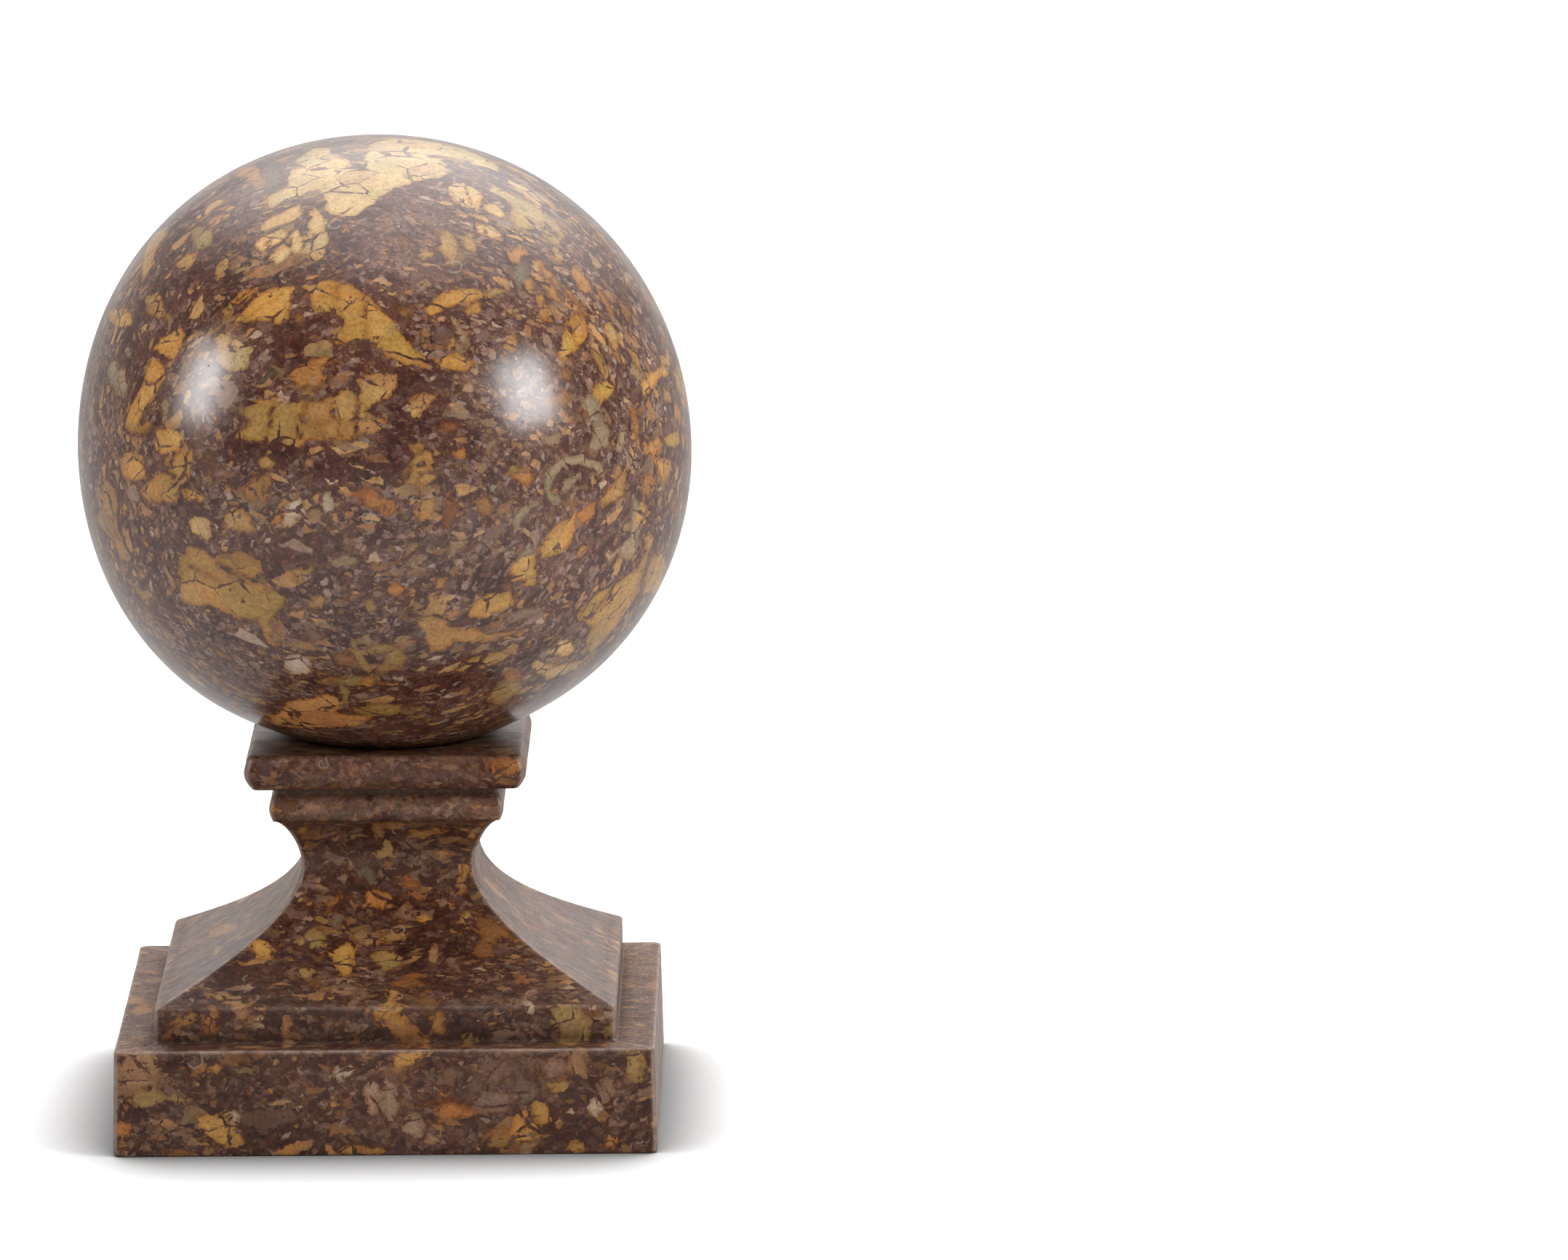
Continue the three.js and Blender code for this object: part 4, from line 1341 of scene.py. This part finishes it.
def polished_stone():
    """The ball: a close polish, a little duller in patches and open at the pits."""
    material, wiring, place = new_material("polished_breccia")
    colour, pits = stone_colour(wiring, place, (0.94, 0.90, 0.93), 0.95)
    rough = wiring.span(wiring.noise(place, 16, 3), 0.3, 0.7, 0.18, 0.26)
    rough = wiring.math("MAXIMUM", rough, wiring.product(pits, 0.7))
    height = wiring.product(wiring.noise(place, 1.1, 3, 0.6), 0.25)
    height = wiring.math("SUBTRACT", height, pits)
    finish_stone(wiring, colour, rough, height, specular=0.5, strength=0.35, depth=0.00025)
    return material


def honed_stone():
    """The pedestal: darker and duller than the ball, its sides and ledges lightened by a dusting and a
    painted sheen.
    """
    material, wiring, place = new_material("honed_breccia")
    colour, pits = stone_colour(wiring, place, (0.78, 0.72, 0.69), 1.6)
    colour = wiring.tinted(1.0, colour, (0.88, 0.82, 0.78))
    normal = wiring.axes(wiring.node("ShaderNodeNewGeometry").outputs["Normal"])
    # Dust with painted sheen: faces turned sideways and side ledges turned up get a paler grey-brown veil
    # that stands for dust and for the grazing sheen of the backdrop.
    sideways = wiring.step(wiring.math("ABSOLUTE", normal["X"]), 0.25, 0.6)
    upward = wiring.step(normal["Z"], 0.85, 0.97)
    spot = wiring.axes(place)
    beside = wiring.step(wiring.math("ABSOLUTE", spot["X"]), LEDGE_FROM, LEDGE_TO)
    upward = wiring.product(upward, wiring.math("MAXIMUM", beside, 0.12))
    dust_and_sheen = wiring.math("MAXIMUM", sideways, upward)
    grain = wiring.noise(place, 1.3, 4, 0.7)
    dust_and_sheen_colour = wiring.mix(wiring.step(grain, 0.42, 0.60), *DUST_AND_SHEEN_COLOURS)
    dust_and_sheen_veil = wiring.product(dust_and_sheen, wiring.span(wiring.noise(place, 9, 4, 0.6), 0.3, 0.7, 0.16, 0.56))
    colour = wiring.mix(dust_and_sheen_veil, colour, dust_and_sheen_colour)
    # Painted highlight with rubbing: a pale line along the arrises and the plinth's front edge, where they
    # catch the light.
    wear_and_highlight_share = wiring.span(wiring.noise(place, 7, 4, 0.6), 0.36, 0.64, 0.30, 0.90)
    colour = wiring.mix(wiring.product(wiring.attribute("wear", "Fac"), wear_and_highlight_share), colour, WEAR_AND_HIGHLIGHT_COLOUR)
    # Painted shade with some dirt: the inner corners and the ball's seat darken toward near-black and turn
    # rougher.
    grime = wiring.span(wiring.noise(place, 6, 4), 0.3, 0.7, 0.5, 1.0)
    grime = wiring.product(wiring.attribute("grime", "Fac"), grime)
    colour = wiring.mix(grime, colour, SHADE_AND_GRIME_COLOUR)
    rough = wiring.span(wiring.noise(place, 16, 3), 0.3, 0.7, 0.34, 0.44)
    rough = wiring.math("MAXIMUM", rough, wiring.product(pits, 0.7))
    rough = wiring.math("ADD", rough, wiring.product(grime, 0.2))
    rough = wiring.math("ADD", rough, wiring.product(upward, 0.30))
    cap_polish = wiring.step(spot["Z"], CAP_POLISH_FROM, CAP_POLISH_TO)
    rough = wiring.math("SUBTRACT", rough, wiring.product(cap_polish, 0.15))
    lines = wiring.noise(wiring.vector("MULTIPLY", place, (0.15, 0.15, 2.0)), 2.0, 3)
    height = wiring.product(wiring.noise(place, 1.1, 3, 0.6), 0.35)
    height = wiring.math("ADD", height, wiring.product(lines, 0.4))
    height = wiring.math("ADD", height, wiring.product(grain, dust_and_sheen, 0.8))
    height = wiring.math("SUBTRACT", height, pits)
    finish_stone(wiring, colour, rough, height, specular=0.3, strength=0.4, depth=0.0003)
    return material


# Studio

FLOOR_HALF = 30.0
# How much light the floor throws back at the object, which is less than it shows
FLOOR_RETURN = 0.45
# Name, direction from the ball's centre, distance, width and height in metres, watts, and whether it mirrors
SOFTBOXES = (
    ("left_softbox", (-0.885, -0.290, 0.345), 1.37, 0.34, 0.50, 8.1, True),
    ("right_softbox", (0.800, -0.475, 0.365), 1.38, 0.46, 0.48, 12.0, True),
    ("front_fill", (0.15, -0.93, 0.34), 3.2, 1.6, 1.6, 38, False),
)
CEILING_AXIS = (0.10, 0.42, 0.90)
CEILING_INNER, CEILING_OUTER = math.radians(14), math.radians(55)
CEILING_STRENGTH = 3.0


def area_light(name, direction, distance, width, height, power, mirrored):
    """A softbox at a distance from the ball's centre, turned to face it."""
    towards = Vector(direction).normalized()
    data = bpy.data.lights.new(name, "AREA")
    data.shape = "RECTANGLE"
    data.size, data.size_y = width, height
    data.energy = power
    lamp = bpy.data.objects.new(name, data)
    lamp.location = Vector(BALL_CENTRE) + towards * distance
    lamp.rotation_mode = "QUATERNION"
    lamp.rotation_quaternion = towards.to_track_quat("Z", "Y")
    lamp.visible_glossy = mirrored
    bpy.context.scene.collection.objects.link(lamp)


def make_floor():
    """A white floor with a painted contact shadow close to what stands on it, a painted shadow a little in
    front, and painted light a little to the left.
    """
    half = FLOOR_HALF
    corners = [(-half, -half, 0), (half, -half, 0), (half, half, 0), (-half, half, 0)]
    mesh = bpy.data.meshes.new("floor")
    mesh.from_pydata(corners, [], [(0, 1, 2, 3)])
    floor = bpy.data.objects.new("floor", mesh)
    bpy.context.scene.collection.objects.link(floor)
    material = bpy.data.materials.new("pale_floor")
    material.use_nodes = True
    wiring = Wiring(material.node_tree)
    # Painted contact shadow: ambient occlusion darkens the floor's colour close to what stands on it.
    open_sky = wiring.node("ShaderNodeAmbientOcclusion", {"Distance": 0.085}, samples=8).outputs["AO"]
    floor_with_painted_shadow = wiring.span(open_sky, 0.45, 0.97, 0.20, 0.92)
    spot = wiring.axes(wiring.node("ShaderNodeTexCoord").outputs["Object"])
    # Painted shadow: a band in front of the pedestal is darkened by up to a quarter.
    near_middle = wiring.step(wiring.math("ABSOLUTE", spot["X"]), 0.19, 0.10)
    in_front, not_behind = wiring.step(spot["Y"], -0.265, -0.135), wiring.step(spot["Y"], 0.15, 0.0)
    painted_front_shadow = wiring.product(in_front, near_middle, not_behind)
    floor_with_painted_shadow = wiring.product(floor_with_painted_shadow, wiring.math("SUBTRACT", 1.0, wiring.product(painted_front_shadow, 0.24)))
    # Painted light: the floor left of the pedestal is lightened by up to 8 %.
    floor_with_painted_shadow = wiring.product(floor_with_painted_shadow, wiring.span(spot["X"], -0.22, -0.10, 1.08, 1.0))
    seen = wiring.node("ShaderNodeLightPath").outputs["Is Camera Ray"]
    grey = wiring.node("ShaderNodeCombineColor", {0: floor_with_painted_shadow, 1: floor_with_painted_shadow, 2: floor_with_painted_shadow}).outputs[0]
    colour = wiring.mix(seen, (FLOOR_RETURN, FLOOR_RETURN, FLOOR_RETURN), grey)
    shader = material.node_tree.nodes["Principled BSDF"]
    material.node_tree.links.new(colour, shader.inputs["Base Color"])
    shader.inputs["Roughness"].default_value = 1.0
    shader.inputs["Specular IOR Level"].default_value = 0.0
    mesh.materials.append(material)


def make_world():
    """A studio: a lit backdrop behind, a soft ceiling above and a little behind, and a dim room in front."""
    world = bpy.data.worlds.new("studio")
    bpy.context.scene.world = world
    world.use_nodes = True
    tree = world.node_tree
    tree.nodes.clear()
    wiring = Wiring(tree)
    direction = wiring.node("ShaderNodeTexCoord").outputs["Generated"]
    y = wiring.axes(direction)["Y"]
    backdrop = wiring.span(wiring.step(y, 0.05, 0.75), 0, 1, 0.14, 0.60)
    backdrop = wiring.math("ADD", backdrop, wiring.product(wiring.step(y, 0.86, 0.98), 0.3))
    ceiling_axis = tuple(Vector(CEILING_AXIS).normalized())
    aligned = wiring.node("ShaderNodeVectorMath", {0: direction, 1: ceiling_axis}, operation="DOT_PRODUCT")
    ceiling = wiring.step(aligned.outputs["Value"], math.cos(CEILING_OUTER), math.cos(CEILING_INNER))
    strength = wiring.math("ADD", backdrop, wiring.product(ceiling, CEILING_STRENGTH))
    seen = wiring.node("ShaderNodeLightPath").outputs["Is Camera Ray"]
    strength = wiring.math("MAXIMUM", strength, seen)
    background = wiring.node("ShaderNodeBackground", {"Color": (1, 1, 1, 1), "Strength": strength})
    wiring.node("ShaderNodeOutputWorld", {"Surface": background.outputs[0]})


def main():
    scene = bpy.context.scene
    scene.view_settings.view_transform = "Standard"
    make_camera()
    ball = make_ball()
    pedestal = make_pedestal()
    figure_ball(ball)
    figure_pedestal(pedestal)
    ball.data.materials.append(polished_stone())
    pedestal.data.materials.append(honed_stone())
    for piece, node, slot in ((ball, "ball", "polished_stone"), (pedestal, "pedestal", "honed_stone")):
        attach(piece, "root")
        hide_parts(node)
    make_floor()
    make_world()
    for softbox in SOFTBOXES:
        area_light(*softbox)


main()
